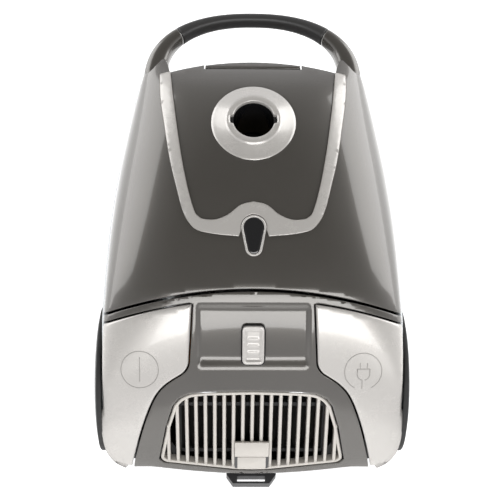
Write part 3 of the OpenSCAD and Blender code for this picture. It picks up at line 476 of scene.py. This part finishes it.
STEEL = plastic("steel", (0.45, 0.45, 0.46), (0.62, 0.62, 0.63), 0.30, 0.16, 1400, 0.10, metal=1.0)
ALLOY = plastic("alloy", (0.60, 0.61, 0.62), (0.74, 0.75, 0.76), 0.36, 0.14, 1100, 0.08, metal=1.0)
COPPER = plastic("windings", (0.30, 0.12, 0.05), (0.52, 0.24, 0.10), 0.38, 0.14, 1600, 0.20, metal=0.7)
BOARD = plastic("circuit_board", (0.02, 0.12, 0.06), (0.04, 0.20, 0.10), 0.40, 0.12, 1300, 0.10)
CARD = plastic("cardboard", (0.42, 0.30, 0.17), (0.56, 0.42, 0.26), 0.85, 0.10, 420, 0.35)
FLEECE = plastic("fleece", (0.70, 0.69, 0.64), (0.82, 0.81, 0.77), 0.92, 0.08, 650, 0.5)
FOAM = plastic("charcoal_foam", (0.015, 0.014, 0.013), (0.035, 0.033, 0.030), 0.95, 0.05, 500, 0.6)


def paper():
    g = Graph("bag_paper")
    fibre = g.noise(420.0, 6.0, 0.65)
    crease = g.node("ShaderNodeTexVoronoi", {"feature": "DISTANCE_TO_EDGE"}, Vector=g.obj, Scale=26.0)
    g.set("Base Color", g.blend(fibre * 1.5 - 0.25, (0.50, 0.40, 0.26), (0.68, 0.57, 0.41)))
    g.set("Roughness", 0.82 + fibre * 0.12)
    g.bump(fibre * 0.4 + crease ** 0.4 * 0.6, 0.35, 0.0008)
    return g.mat


PAPER = paper()
print("materials:", len(bpy.data.materials))

# %% [markdown]
# ## Covers
# The lid, the deck behind it and the two foot pedals are panels cut from the one skin, with narrow
# dark gaps between them. The recess for the sliding knob is sunk into the deck.

# %% Covers
def mirror(points):
    return [[-x, v] for x, v in reversed(points)]


def ex(v):
    """Half width of the skin."""
    return float(along(EDGE_X, v))


def lid_rear(q):
    return 189.5 - 22.7 * q * q


def lid_front(q):
    """The front edge; its corners run on under the handle's arms."""
    if q < 0.75:
        return 397.5 - 10.5 * (q / 0.75) ** 2
    return 387 + 14 * min(1, (q - 0.75) / 0.07)


def at_q(fn, q):
    """Point of the edge curve fn at the share q of the half width."""
    v = fn(abs(q))
    return [q * ex(v), v]


Q = np.linspace(0, 1, 25)
LATCH_X, LATCH_V = 44.0, 391.0
lid_half = [at_q(lid_rear, q) for q in Q]
lid_half += [[ex(v), v] for v in np.linspace(lid_rear(1), lid_front(1), 60)[1:-1]]
lid_half += [p for p in (at_q(lid_front, q) for q in Q[::-1]) if p[0] > LATCH_X + 2]
notch = LATCH_X + 0.9
lid_half += [[notch, lid_front(notch / 103)], [notch, LATCH_V - 1.1], [0, LATCH_V - 1.1]]
lid_outline = lid_half + mirror(lid_half[1:-1])


def skin_at(x, y):
    """v of the skin point above (x, y) of the row frame."""
    vv = np.linspace(150, 400, 700)
    yy = by_angle(angle_at(np.full(len(vv), x), vv), vv)[:, 1]
    return float(np.interp(y, yy, vv))


IN_Y, HOLE_R = 269.3 - MID_Y, 36.5
ring = [(HOLE_R * math.cos(t), IN_Y + HOLE_R * math.sin(t))
        for t in np.linspace(0, 2 * math.pi, 61)[:-1]]
inlet_hole = [[x, skin_at(x, y)] for x, y in ring]
lid = panel("lid_cover", lid_outline, GREY, rim=0.9, holes=[inlet_hole])
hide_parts("lid_shell")
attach(lid, "lid")

latch_half = [[0, LATCH_V], [LATCH_X, LATCH_V]]
latch_half += [[x, lid_front(x / 103) - 0.2] for x in (LATCH_X, 33, 22, 11, 0)]
latch = panel("latch_cover", latch_half + mirror(latch_half[1:-1]), GREY, rim=1.4)
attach(latch, "latch")
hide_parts("lid_latch")

PEDAL_IN = [[24, 109], [31, 107.5], [60, 99.5], [82, 91.6], [95, 85], [103, 78], [109, 70], [114, 62],
            [121, 57.2], [130, 56.2], [176, 53.6]]
GAP = 1.2
PEDAL_LOW, PEDAL_HIGH = 24, 176
TOP_HALF = 131.7                # half width of the skin along the pedals' upper edge


def pin(v):
    """Inner edge of a pedal."""
    return float(along(PEDAL_IN, max(PEDAL_LOW, v)))


def pedal_top(q):
    return 179.9 - 22.3 * q * q


def pedal_outline():
    pts = [[pin(v), v] for v in np.arange(PEDAL_LOW, PEDAL_HIGH, 3.0)]
    q0 = pin(PEDAL_HIGH) / TOP_HALF
    pts += [at_q(pedal_top, q) for q in np.linspace(q0, 1, 14)]
    return pts + [[ex(v), v] for v in np.linspace(pedal_top(1), PEDAL_LOW, 50)[1:]]


for side, body, node in ((-1, "power_key", "power_pedal"), (1, "rewind_key", "rewind_pedal")):
    pts = [[side * x, v] for x, v in pedal_outline()]
    key = panel(body + "_cover", pts, SILVER, rim=2.4)
    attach(key, body)
    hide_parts(node)

TRAY_V0, TRAY_DEEP = 117, 3.6
TILT = math.radians(59.6)       # the grille's face above the floor
FACE_Y, FACE_Z = 1.3, 47        # foot of that face


def grille_xv(x, s):
    """Point of the grille's face, as skin x and v."""
    y, z = FACE_Y + s * math.cos(TILT), FACE_Z + s * math.sin(TILT)
    return [x, SD * y + CD * z]


GRILLE_HALF = [[0, -1], [15, -0.5], [79, 8.5], [83.5, 13], [76.5, 52], [70, 76], [64.5, 84.5],
               [56, 89.6], [41.5, 91.6], [0, 92.8]]


def grow(p, d):
    """Point moved away from the middle of the grille."""
    c = np.array([0, 45.0])
    v = np.array(p, float) - c
    return list(c + v * (1 + d / np.maximum(np.abs(v).max(), 1)))


grille_hole = [grille_xv(*grow(p, GAP)) for p in GRILLE_HALF]
grille_hole += mirror(grille_hole[1:-1])


def foot(q):
    return 15.8 + 7.5 * min(1, q / 0.8) ** 2


deck_half = [at_q(foot, q) for q in np.linspace(0, 0.94, 16)]
deck_half = [p for p in deck_half if p[0] < pin(PEDAL_LOW) - GAP - 0.5]
deck_half += [[pin(PEDAL_LOW) - GAP, 23.2]]
deck_half += [[pin(v) - GAP, v] for v in np.arange(26, 174, 3.0)]
deck_half += [[pin(175) - GAP, 176.2]]
q1 = (pin(PEDAL_HIGH) + 2) / TOP_HALF
deck_half += [[p[0], p[1] + GAP] for p in (at_q(pedal_top, q) for q in np.linspace(q1, 1, 14))]
deck_half[-1][0] = ex(deck_half[-1][1])
deck_half += [at_q(lambda q: lid_rear(q) - 2.3, q) for q in np.linspace(1, 0, 24)]


def ease(t):
    t = np.clip(t, 0, 1)
    return t * t * (3 - 2 * t)


def scoop(uv):
    """The recess of the knob, with soft sides and a steeper front wall."""
    x, v = np.abs(uv[:, 0]), uv[:, 1]
    long = ease((v - TRAY_V0) / 12) * (1 - ease((v - 171) / 6))
    return -TRAY_DEEP * long * (1 - ease((x - 46.0) / 4.5))


deck = panel("deck_cover", deck_half + mirror(deck_half[1:-1]), GREY, rim=0.6, holes=[grille_hole],
             fill=2.0, top=scoop)
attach(deck, "root")
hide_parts("rear_cover")
print("cover triangles:", sum(len(o.data.polygons) for o in (lid, deck, latch)))

# %% [markdown]
# ## Trim, strip and handle
# The U-shaped trim stands on the lid and bends round the window. A strip runs along each side, and the
# handle is a bow between two arms that grow out of the lid.

# %% Trim, strip and handle
BAND_OUT = [[85.4, 384], [84, 361], [79.3, 332.5], [74, 303], [68, 279], [61.5, 256], [54.3, 244],
            [46.5, 239], [32, 236.3], [20, 235.2], [10, 234.4], [0, 234.2]]
BAND_IN = [[75.5, 386], [71.5, 357], [67.5, 330], [63, 303], [57.5, 277], [51.8, 257.5], [48, 252],
           [43, 249.6], [33, 249.3], [22.4, 253.5], [11.5, 262], [0, 265]]


def border(pts, steps=60):
    k = np.arange(len(pts))
    t = np.linspace(0, len(pts) - 1, steps)
    x = along(np.stack([k, np.array(pts)[:, 0]], 1), t)
    v = along(np.stack([k, np.array(pts)[:, 1]], 1), t)
    return [[float(a), float(b)] for a, b in zip(x, v)]


WIN = math.radians(19)          # slope of the window
WIN_P = by_angle(0, 236.5)


def window_point(x, s, w):
    return [x, float(WIN_P[1]) + s * math.cos(WIN) - w * math.sin(WIN),
            float(WIN_P[2]) + s * math.sin(WIN) + w * math.cos(WIN)]


def egg(more, n=96):
    """Outline round a large and a small circle."""
    big, small, c0, c1 = 11 + more, 7.5 + more, 6.0, -11.5
    g = math.asin((big - small) / (c0 - c1))
    pts = []
    for t in -math.pi / 2 + 2 * math.pi * np.arange(n) / n:
        c, r = (c0, big) if math.sin(t) > -math.sin(g) else (c1, small)
        pts.append([math.cos(t) * r, c + math.sin(t) * r])
    return pts


def egg_xv(more):
    out = []
    for x, t in egg(more):
        p = window_point(x, t, 0)
        out.append([x, SD * (p[1] + MID_Y) + CD * p[2]])
    return out


o, i_ = border(BAND_OUT), border(BAND_IN)
half_egg = [p for p in egg_xv(0.25) if p[0] >= 0 and p[1] > 234.6]
half_egg.sort(key=lambda p: p[1])
o = [p for p in o if p[0] > half_egg[0][0] + 0.4] + half_egg[:-1] + [[0, half_egg[-1][1]]]
band = o + mirror(o[:-1]) + [[-x, v] for x, v in i_] + [[x, v] for x, v in reversed(i_[:-1])]
trim = panel("u_trim", band, SILVER, wall=-0.2, rim=0.9, lift=1.5, step=1.6, fill=3.0, under=False)
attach(trim, "lid")
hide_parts("lid_trim")


def ramp(v, a, b):
    return min(1, max(0, (v - a) / (b - a)))


def strip_ring(v, side):
    p = world(ex(v), v, float(along(EDGE_W, v)))
    out = 0.5 + 1.7 * ramp(v, 135, 165)
    top = -7 + 3 * ramp(v, 160, 200)
    low = -10.3
    shape = ((-3.4, low), (out * 0.7, low), (out, low + 0.8), (out, top - 1.6),
             (out * 0.7, top - 0.5), (-0.2, top), (-1.4, top - 0.2), (-3.4, top - 1.4))
    return [[side * (p[0] + dx), p[1], p[2] + dz] for dx, dz in shape]


for side in (-1, 1):
    s = sweep("side_strip_" + ("left" if side < 0 else "right"),
              [strip_ring(v, side) for v in np.linspace(60, 380, 120)], STRIP)
    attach(s, "root")
    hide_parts("bumper_strip")


def handle_p(a):
    """Centre line of the handle at angle a, and how far round to the front it is."""
    s, c = abs(math.sin(a)) ** (2 / 2.3), max(0.0, math.cos(a)) ** (2 / 2.3)
    return np.array([math.copysign(90 * s, a), 338 + 58 * c - MID_Y, 182 + 11.5 * c]), c


def handle_ring(a, cut=0.0, n=40):
    p, c = handle_p(a)
    d = handle_p(a + 0.01)[0] - handle_p(a - 0.01)[0]
    nrm = np.array([d[1], -d[0]]) / np.hypot(d[0], d[1])
    wide, tall = 12 + (5 - 12) * c - cut, 13 + (8 - 13) * c - cut
    ring = []
    for k in range(n):
        t = 2 * math.pi * k / n
        e = abs(math.cos(t)) ** 0.75 * math.copysign(1, math.cos(t))
        f = abs(math.sin(t)) ** 0.75 * math.copysign(1, math.sin(t))
        ring.append([p[0] + nrm[0] * wide * e, p[1] + nrm[1] * wide * e, p[2] + tall * f])
    return ring


GRIP_A = math.radians(47)
SEAM = math.radians(0.4)
for side in (-1, 1):
    a = np.linspace(math.radians(88.5), GRIP_A + SEAM, 36)
    root = np.array(handle_ring(side * a[0]))
    mid = root.mean(0)
    away = np.array([-side * 2.4, -26, -3.0])
    back = [(mid + (root - mid) * (1 - 0.14 * t) + away * t).tolist() for t in (1.0, 0.75, 0.5, 0.25)]
    arm = sweep("handle_arm_" + ("left" if side < 0 else "right"),
                back + [handle_ring(side * t) for t in a]
                + [handle_ring(side * (GRIP_A + SEAM * 0.4), 0.8)], GREY)
    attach(arm, "lid")
a = np.linspace(-GRIP_A + SEAM, GRIP_A - SEAM, 70)
grip = sweep("handle_bow", [handle_ring(-GRIP_A + SEAM * 0.4, 0.8)] + [handle_ring(t) for t in a]
             + [handle_ring(GRIP_A - SEAM * 0.4, 0.8)], GRIP)
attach(grip, "lid")
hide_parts("handle_grip")
print("handle reaches y =", round(float(handle_p(0)[0][1] + 5), 1), "mm")

# %% [markdown]
# ## Inlet and window
# The cone round the hose inlet is turned, with two notches in its mouth. The window is egg-shaped.

# %% Inlet and window
COLLAR_Z = 219.0
R, RO = 18.4, 38.5
cone = [(r, COLLAR_Z + z) for r, z in (
    (R + 1.2, -8), (R, 2.4), (R, 6.0), (R + 0.3, 6.6), (R + 1.0, 7.0), (R + 5.0, 7.0), (R + 6.0, 6.6),
    (R + 6.6, 5.6), (R + 7.2, 5.2), (RO - 3.0, 0.5), (RO - 1.0, -0.2), (RO - 0.2, -1.2), (RO, -3.0),
    (RO, -16))]


def notched(k, r, t):
    """Widens the mouth at both sides for the bayonet of the hose."""
    if k in (1, 2, 3, 4) and min(abs(math.sin(t)), 1) < 0.21:
        return r + (2.6 if k < 4 else 1.6)
    return r


collar = lathe("inlet_cone", cone, SILVER, (0, IN_Y, 0), "z", 160, notched)
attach(collar, "lid")
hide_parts("hose_collar")


def egg_rings(rows):
    return [[window_point(x, s, w) for x, s in egg(more)] for more, w in rows]


BEZEL = [(-2.0, -3.0), (-2.0, 1.0), (-1.7, 1.5), (-1.1, 1.75), (-0.6, 1.6), (-0.1, 1.1), (0.0, 0.4),
         (0.0, -3.0)]
LENS = [(-2.15, -2.0), (-2.15, 0.3), (-2.6, 0.6), (-4.0, 0.85), (-5.6, 0.95)]
bezel = sweep("window_bezel", egg_rings(BEZEL), SILVER, caps=False)
lens = sweep("window_lens", egg_rings(LENS), BLACK)
for ob, node in ((bezel, "indicator_bezel"), (lens, "indicator_lens")):
    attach(ob, "lid")
    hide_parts(node)

# %% [markdown]
# ## Knob, marks and wheels
# The knob is dished and ribbed and slides in its recess. The marks on the pedals are thin raised
# lines, and the wheels are turned discs with ribbed tyres.

# %% Knob, marks and wheels
K0, K1, KX = 123.2, 157.3, 9.6
KC, KH = (K0 + K1) / 2, (K1 - K0) / 2


def knob_top(uv):
    """Raised rim, dished middle and three cross ridges."""
    u, t = np.abs(uv[:, 0]) / KX, (uv[:, 1] - KC) / KH
    dish = -1.7 * (1 - ease((u - 0.55) / 0.3)) * (1 - ease((np.abs(t) - 0.72) / 0.18))
    ribs = sum(np.exp(-((uv[:, 1] - KC - k) / 0.75) ** 2) for k in (-6.5, -0.5, 5.5))
    return dish + 0.9 * ribs * (u < 0.5)


def rounded_box(x, v0, v1, r):
    return round_corners([[-x, v0], [x, v0], [x, v1], [-x, v1]], r)


knob = panel("suction_knob", rounded_box(KX, K0, K1, 4.5), SILVER, wall=6.2, rim=1.1, lift=1.6, step=0.8,
             fill=0.9, top=knob_top, under=False)
# A black sheet under the knob and a little wider: painted shade in the slot round the knob.
slot_shade = panel("knob_slot_painted_shade", rounded_box(KX + 1.1, K0 - 1.2, K1 + 0.9, 5.0), BLACK, wall=3.0, rim=0.3,
             lift=0.0, step=1.5, fill=3.0, top=lambda uv: scoop(uv) * 0.92 + 0.12, under=False)
for ob in (knob, slot_shade):
    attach(ob, "slider")
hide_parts("suction_slider")


def raised_line(name, pts, mat, body, r=0.4, closed=False):
    """Thin rounded line that follows the skin through [x, v] points."""
    uv = [[to_u(x, v), v] for x, v in pts]
    c, n = on_skin(uv, np.full(len(uv), 0.12))
    rings = []
    k = len(c)
    for i in range(k):
        t = c[(i + 1) % k if closed else min(i + 1, k - 1)] - c[i - 1 if closed else max(i - 1, 0)]
        t = t / np.linalg.norm(t)
        s = np.cross(t, n[i])
        rings.append([c[i] + r * (math.cos(q) * s + math.sin(q) * n[i])
                      for q in np.linspace(0, 2 * math.pi, 9)[:-1]])
    ob = sweep(name, rings, mat, closed=closed)
    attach(ob, body)


def arc(cx, cv, r, a0, a1, n):
    return [[cx + r * math.cos(t), cv + r * math.sin(t)] for t in np.radians(np.linspace(a0, a1, n))]


def upright(x, v0, v1, n):
    return [[x, v] for v in np.linspace(v0, v1, n)]


MARK_R = 16.5
raised_line("power_mark_ring", arc(-99.5, 117.8, MARK_R, 0, 360, 61)[:-1], MARK, "power_key", closed=True)
raised_line("power_mark_bar", upright(-99.5, 107, 129, 16), MARK, "power_key")
PLUG_X, PLUG_V, PLUG_R = 97.3, 114.2, 5.6
PLUG_LINES = {
    "ring": arc(97.0, 116.6, MARK_R, -62, 244, 56),
    "plug_a": upright(96.3, 101, 108, 6) + arc(PLUG_X, PLUG_V, PLUG_R, 258, 180, 8) + [[91.7, 118.6]],
    "plug_b": arc(PLUG_X, PLUG_V, PLUG_R, 282, 360, 8) + [[102.9, 118.6]],
    "plug_c": [[x, 118.8] for x in np.linspace(91.4, 103.2, 8)],
    "prong_0": upright(94.2, 119.5, 124, 5),
    "prong_1": upright(100.4, 119.5, 124, 5),
}
for part, pts in PLUG_LINES.items():
    raised_line("rewind_mark_" + part, pts, MARK, "rewind_key")

WY, WZ, WX0, WW = 83 - MID_Y, 67.0, 114.0, 29.0
disc = [(r, WW + h) for r, h in (
    (5.06, -5), (12, -4.2), (17, -0.8), (19, -0.4), (24, -0.1), (30, 0), (42, -0.8), (43.0, -1.5),
    (44.4, -1.5), (45.2, -1.0), (54, -2.0), (58, -2.6), (62.0, -3.5), (63.0, -4.2), (63.0, -8.2),
    (62.4, -8.6), (50.6, -8.6), (50, -9.2))]
disc += [(50, 5), (49, 3), (45, 2), (40, 0.5), (20, 0.5), (5.06, 2), (5.06, WW - 5)]
tread = [(r, WW + h) for r, h in (
    (63.05, -8.6), (66.0, -8.6), (66.8, -8.1), (67.0, -7.4), (67.0, -5.6), (66.7, -4.8), (66.0, -4.3),
    (63.05, -3.9))]
GROOVE, GROOVES = 0.35, 100     # depth and number of the grooves round a tyre
for side, axis, name in ((-1, "-x", "left"), (1, "x", "right")):
    c = (side * WX0, WY, WZ)
    d = lathe(f"wheel_disc_{name}", disc, WHEEL, c, axis, 160)
    t = lathe(f"wheel_tyre_{name}", tread, RUBBER, c, axis, 200,
              lambda k, r, t: r - (GROOVE if 2 <= k <= 5 and math.sin(t * GROOVES) > 0 else 0))
    for ob, node in ((d, "wheel_" + name), (t, "tyre_" + name)):
        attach(ob, name + "_wheel")
        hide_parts(node)

# %% [markdown]
# ## Exhaust grille
# A rounded frame holds deep upright fins over the dark filter; the release tab sits at its foot.

# %% Grille
def gp(x, s, w):
    """Point x across the grille, s up its face and w out of it."""
    return [x, FACE_Y + s * math.cos(TILT) - w * math.sin(TILT) - MID_Y,
            FACE_Z + s * math.sin(TILT) + w * math.cos(TILT)]


g_loop = resample(round_corners(GRILLE_HALF + mirror(GRILLE_HALF[1:-1]), 6.0), 1.5)
if area(g_loop) < 0:
    g_loop = g_loop[::-1]
section = [(0, -8.5), (0, -1.0), (0.25, -0.35), (0.9, 0), (2.2, 0), (2.85, -0.35), (3.1, -1.0),
           (3.1, -8.5)]
frame_ring = sweep("grille_frame", [[gp(x, s, w) for x, s in inset(g_loop, d)] for d, w in section],
                   SATIN, caps=False)
low = np.array([p for p in GRILLE_HALF if p[1] < 14])
high = np.array([p for p in GRILLE_HALF if p[1] > 12])[::-1]
FIN = [(-2.1, -9.0), (2.1, -9.0), (1.5, -1.0), (1.2, -0.35), (0.7, -0.12), (-0.7, -0.12),
       (-1.2, -0.35), (-1.5, -1.0)]
PITCH, ROWS, SHORTEST = 8.4, 12, 6
fins_v, fins_f, fin_count = [], [], 0
for k in range(-9, 10):
    x = k * PITCH
    s0 = float(np.interp(abs(x), low[:, 0], low[:, 1])) + 1.5
    s1 = float(np.interp(abs(x), high[:, 0], high[:, 1])) - 1.5
    if s1 - s0 < SHORTEST:
        continue
    fin_count += 1
    b, m = len(fins_v), len(FIN)
    for s in np.linspace(s0, s1, ROWS):
        fins_v += [gp(x + dx, s, w) for dx, w in FIN]
    fins_f += [(p + j, p + (j + 1) % m, p + m + (j + 1) % m, p + m + j)
               for p in range(b, b + (ROWS - 1) * m, m) for j in range(m)]
    fins_f += [tuple(range(b, b + m)), tuple(range(b + ROWS * m - 1, b + (ROWS - 1) * m - 1, -1))]
fins = mesh_object("grille_fins", fins_v, fins_f, SATIN)
for ob in (frame_ring, fins):
    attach(ob, "grille")
    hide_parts("exhaust_grille")


def plate(name, x, s0, s1, w0, w1, mat):
    """Flat plate with rounded corners on the grille's face."""
    loop = resample(rounded_box(x, s0, s1, 1.2), 1.0)
    rows = [(0, w0), (0, w1 - 0.6), (0.18, w1 - 0.18), (0.6, w1)]
    ob = sweep(name, [[gp(a, b, w) for a, b in inset(loop, d)] for d, w in rows], mat)
    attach(ob, "grille_catch")
    return ob


tab = plate("grille_tab", 15.5, 17.6, 35.0, 0.3, 2.8, SATIN)
plate("grille_tab_foot", 13.0, 1.6, 16.6, 0.3, 2.2, SATIN)
# A thin black plate under the tab and its foot: painted shade in the gaps round them.
plate("grille_tab_painted_shade", 15.3, 1.4, 34.0, 0.3, 0.9, BLACK)
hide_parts("grille_latch")
print("fins:", fin_count)

# %% [markdown]
# ## The dust bag
# A paper bag hangs from the cardboard plate inside. It starts as a box of cloth whose top is pinned,
# and air pressure rounds it for a few frames.

# %% Dust bag
SIDE_ROOM, FOOT_ROOM, TOP_ROOM = 0.006, 0.004, 0.001
FRAMES = 24
EDGE_ROOM = 0.0005              # metres between the finished bag and the CAD bag's box


def make_bag():
    (x0, y0, z0), (x1, y1, z1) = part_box("dust_bag")
    bm = bmesh.new()
    bmesh.ops.create_grid(bm, x_segments=20, y_segments=16, size=0.5)
    top = list(bm.verts)
    ret = bmesh.ops.extrude_face_region(bm, geom=list(bm.faces))
    low = [g for g in ret["geom"] if isinstance(g, bmesh.types.BMVert)]
    for v in low:
        v.co.z = -1.0
    side = [e for e in bm.edges if abs(e.verts[0].co.z - e.verts[1].co.z) > 0.5]
    bmesh.ops.subdivide_edges(bm, edges=side, cuts=10, use_grid_fill=True)
    for v in bm.verts:
        v.co.x = (x0 + x1) / 2 + v.co.x * (x1 - x0 - 2 * SIDE_ROOM)
        v.co.y = (y0 + y1) / 2 + v.co.y * (y1 - y0 - 2 * SIDE_ROOM)
        v.co.z = z1 - TOP_ROOM + v.co.z * (z1 - z0 - 2 * FOOT_ROOM)
    bmesh.ops.recalc_face_normals(bm, faces=bm.faces)
    me = bpy.data.meshes.new("paper_bag")
    bm.to_mesh(me)
    bm.free()
    me.materials.append(PAPER)
    ob = bpy.data.objects.new("paper_bag", me)
    bpy.context.scene.collection.objects.link(ob)
    pins = ob.vertex_groups.new(name="held")
    held = [v.index for v in me.vertices if v.co.z > z1 - 0.003 and abs(v.co.x) < 0.045
            and abs(v.co.y - IN_Y * MM) < 0.04]
    pins.add(held, 1.0, "REPLACE")
    c = ob.modifiers.new("cloth", "CLOTH")
    s = c.settings
    s.quality, s.mass, s.tension_stiffness, s.compression_stiffness = 6, 0.25, 25, 25
    s.bending_stiffness, s.use_pressure, s.uniform_pressure_force = 3.0, True, 1.1
    s.vertex_group_mass = "held"
    s.effector_weights.gravity = 0.3
    scene = bpy.context.scene
    for f in range(1, FRAMES + 1):
        scene.frame_set(f)
    dg = bpy.context.evaluated_depsgraph_get()
    done = bpy.data.meshes.new_from_object(ob.evaluated_get(dg))
    ob.modifiers.clear()
    ob.data = done
    scene.frame_set(1)
    co = np.array([v.co[:] for v in done.vertices])
    lo, hi = co.min(0), co.max(0)
    want_lo, want_hi = np.array([x0, y0, z0]) + EDGE_ROOM, np.array([x1, y1, z1]) - EDGE_ROOM
    k = np.minimum(1, (want_hi - want_lo) / (hi - lo))
    mid = (want_lo + want_hi) / 2
    co = (co - (lo + hi) / 2) * k + mid
    for v, p in zip(done.vertices, co):
        v.co = p
    print("bag after cloth:", (hi - lo).round(3))
    for p in ob.data.polygons:
        p.use_smooth = True
    sub = ob.modifiers.new("smooth", "SUBSURF")
    sub.levels = sub.render_levels = 1
    return ob


bag = make_bag()
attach(bag, "root")
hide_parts("dust_bag")

# %% [markdown]
# ## CAD nodes that stay in view
# The other nodes keep their CAD shape. They get fine rounded edges, materials and, at the hinge, painted
# shade.

# %% Dress the CAD nodes
DRESS = {
    "base_shell": BASE, "bulkhead": BASE, "motor_filter": FLEECE, "fan_shroud": ALLOY,
    "motor_stator": COPPER, "motor_mounts": RUBBER, "brush_holders": COPPER,
    "motor_bearings": STEEL, "armature": COPPER, "impeller": ALLOY, "cord_reel": BASE,
    "reel_axle": STEEL, "reel_bracket": BASE, "reel_spring": STEEL, "brake_lever": WHITE,
    "control_board": BOARD, "power_switch": BASE, "switch_plunger": WHITE, "slider_pot": BASE,
    "pedal_springs": STEEL, "housing_screws": STEEL, "cord_outlet": RUBBER, "hepa_frame": BASE,
    "hepa_media": FOAM, "wheel_axles": STEEL, "wheel_bushes": WHITE, "caster_fork": BASE,
    "caster_wheel": WHEEL, "caster_axle": STEEL, "caster_socket": BASE, "bag_collar": CARD,
    "bag_holder": BLUE, "inlet_tube": BLACK, "inlet_seal": RUBBER, "indicator_flag": RED,
    # painted shade: the steel hinge pins and the lid hinge are dark so the lid's rear gap looks dark
    "lid_latch": GREY, "latch_spring": STEEL, "lid_catch": BASE, "hinge_pins": BASE,
    "lid_hinge": BASE, "grille_pins": STEEL, "parking_bracket": BASE,
}


def smooth_copy(node, mat, body):
    """A welded copy of a CAD wall, whose facets shade as one surface."""
    bm = bmesh.new()
    bm.from_mesh(frame["nodes"][node].data)
    bm.transform(frame["nodes"][node].matrix_world)
    bmesh.ops.remove_doubles(bm, verts=bm.verts, dist=WALL_WELD)
    me = bpy.data.meshes.new(node + "_skin")
    bm.to_mesh(me)
    bm.free()
    me.shade_smooth()
    me.set_sharp_from_angle(angle=math.radians(28))
    me.materials.clear()
    me.materials.append(mat)
    ob = bpy.data.objects.new(node + "_skin", me)
    bpy.context.scene.collection.objects.link(ob)
    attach(ob, body)
    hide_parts(node)


smooth_copy("base_shell", BASE, "root")
for node, mat in DRESS.items():
    ob = frame["nodes"][node]
    if ob.hide_render:
        continue
    ob.data.materials.clear()
    ob.data.materials.append(mat)
    small = node in ("pedal_springs", "hepa_media", "grille_pins", "hinge_pins")
    soften(ob, 0.08 if small else 0.35, 2)
print("dressed:", len(DRESS))

# %% [markdown]
# ## Studio
# A pale floor, two tall soft lights at the front corners and one above and behind the camera.
# The camera looks down at 65 degrees from behind the cleaner.

# %% Floor, light and camera
def floor():
    bm = bmesh.new()
    bmesh.ops.create_grid(bm, x_segments=6, y_segments=6, size=4.0)
    me = bpy.data.meshes.new("studio_floor")
    bm.to_mesh(me)
    bm.free()
    ob = bpy.data.objects.new("studio_floor", me)
    bpy.context.scene.collection.objects.link(ob)
    g = Graph("studio_floor")
    g.set("Base Color", g.blend(g.noise(1.2, 2.0), (0.90, 0.90, 0.90), (0.93, 0.93, 0.93)))
    g.set("Roughness", 0.7 + g.noise(30.0) * 0.1)
    g.set("Emission Color", (1.0, 1.0, 1.0))
    g.set("Emission Strength", 0.6)
    me.materials.append(g.mat)


floor()


def studio_world():
    """Dark overhead, bright towards the horizon."""
    w = bpy.data.worlds.new("studio")
    bpy.context.scene.world = w
    w.use_nodes = True
    t = w.node_tree
    co, sep = t.nodes.new("ShaderNodeTexCoord"), t.nodes.new("ShaderNodeSeparateXYZ")
    ramp = t.nodes.new("ShaderNodeValToRGB")
    t.links.new(co.outputs["Generated"], sep.inputs[0])
    t.links.new(sep.outputs["Z"], ramp.inputs[0])
    e = ramp.color_ramp.elements
    e[0].position, e[0].color = 0.30, (1.0, 1.0, 1.02, 1)
    e[1].position, e[1].color = 0.92, (0.17, 0.165, 0.155, 1)
    m = e.new(0.62)
    m.color = (0.55, 0.55, 0.55, 1)
    t.links.new(ramp.outputs[0], t.nodes["Background"].inputs["Color"])
    t.nodes["Background"].inputs["Strength"].default_value = 1.0


studio_world()


def softbox(name, place, target, size, power):
    data = bpy.data.lights.new(name, "AREA")
    data.shape, data.energy = "RECTANGLE", power
    data.size, data.size_y = size
    ob = bpy.data.objects.new(name, data)
    ob.location = place
    ob.rotation_euler = (Vector(target) - Vector(place)).to_track_quat("-Z", "Y").to_euler()
    bpy.context.scene.collection.objects.link(ob)


softbox("front_left", (-1.6, 0.9, 0.75), (0, 0.05, 0.12), (1.9, 1.5), 20)
softbox("front_right", (1.6, 0.9, 0.75), (0, 0.05, 0.12), (1.9, 1.5), 24)
softbox("above_back", (0.2, -1.5, 1.5), (0, -0.05, 0.1), (1.8, 0.7), 20)

TURN, ROLL, DIST = math.radians(0.9736), math.radians(0.214), 1240.0
aim = np.array([0, -2.0, 112.0])
f0 = np.array([0, CD, -SD])
up = np.array([0, SD, CD])
right = np.array([1.0, 0, 0])
eye = aim - DIST * f0
eye[0] = -22.7
fwd = f0 * math.cos(TURN) + right * math.sin(TURN)
side = right * math.cos(TURN) - f0 * math.sin(TURN)
side, up = (side * math.cos(ROLL) + up * math.sin(ROLL),
            up * math.cos(ROLL) - side * math.sin(ROLL))
cam_data = bpy.data.cameras.new("camera")
cam_data.lens, cam_data.sensor_width, cam_data.sensor_fit = 95.0, 36.0, "HORIZONTAL"
cam = bpy.data.objects.new("camera", cam_data)
bpy.context.scene.collection.objects.link(cam)
m4 = Matrix.Identity(4)
for k, row in enumerate(zip(side, up, -fwd, eye * MM)):
    for j, value in enumerate(row):
        m4[k][j] = value
cam.matrix_world = m4
bpy.context.scene.camera = cam
bpy.context.scene.view_settings.view_transform = "Standard"
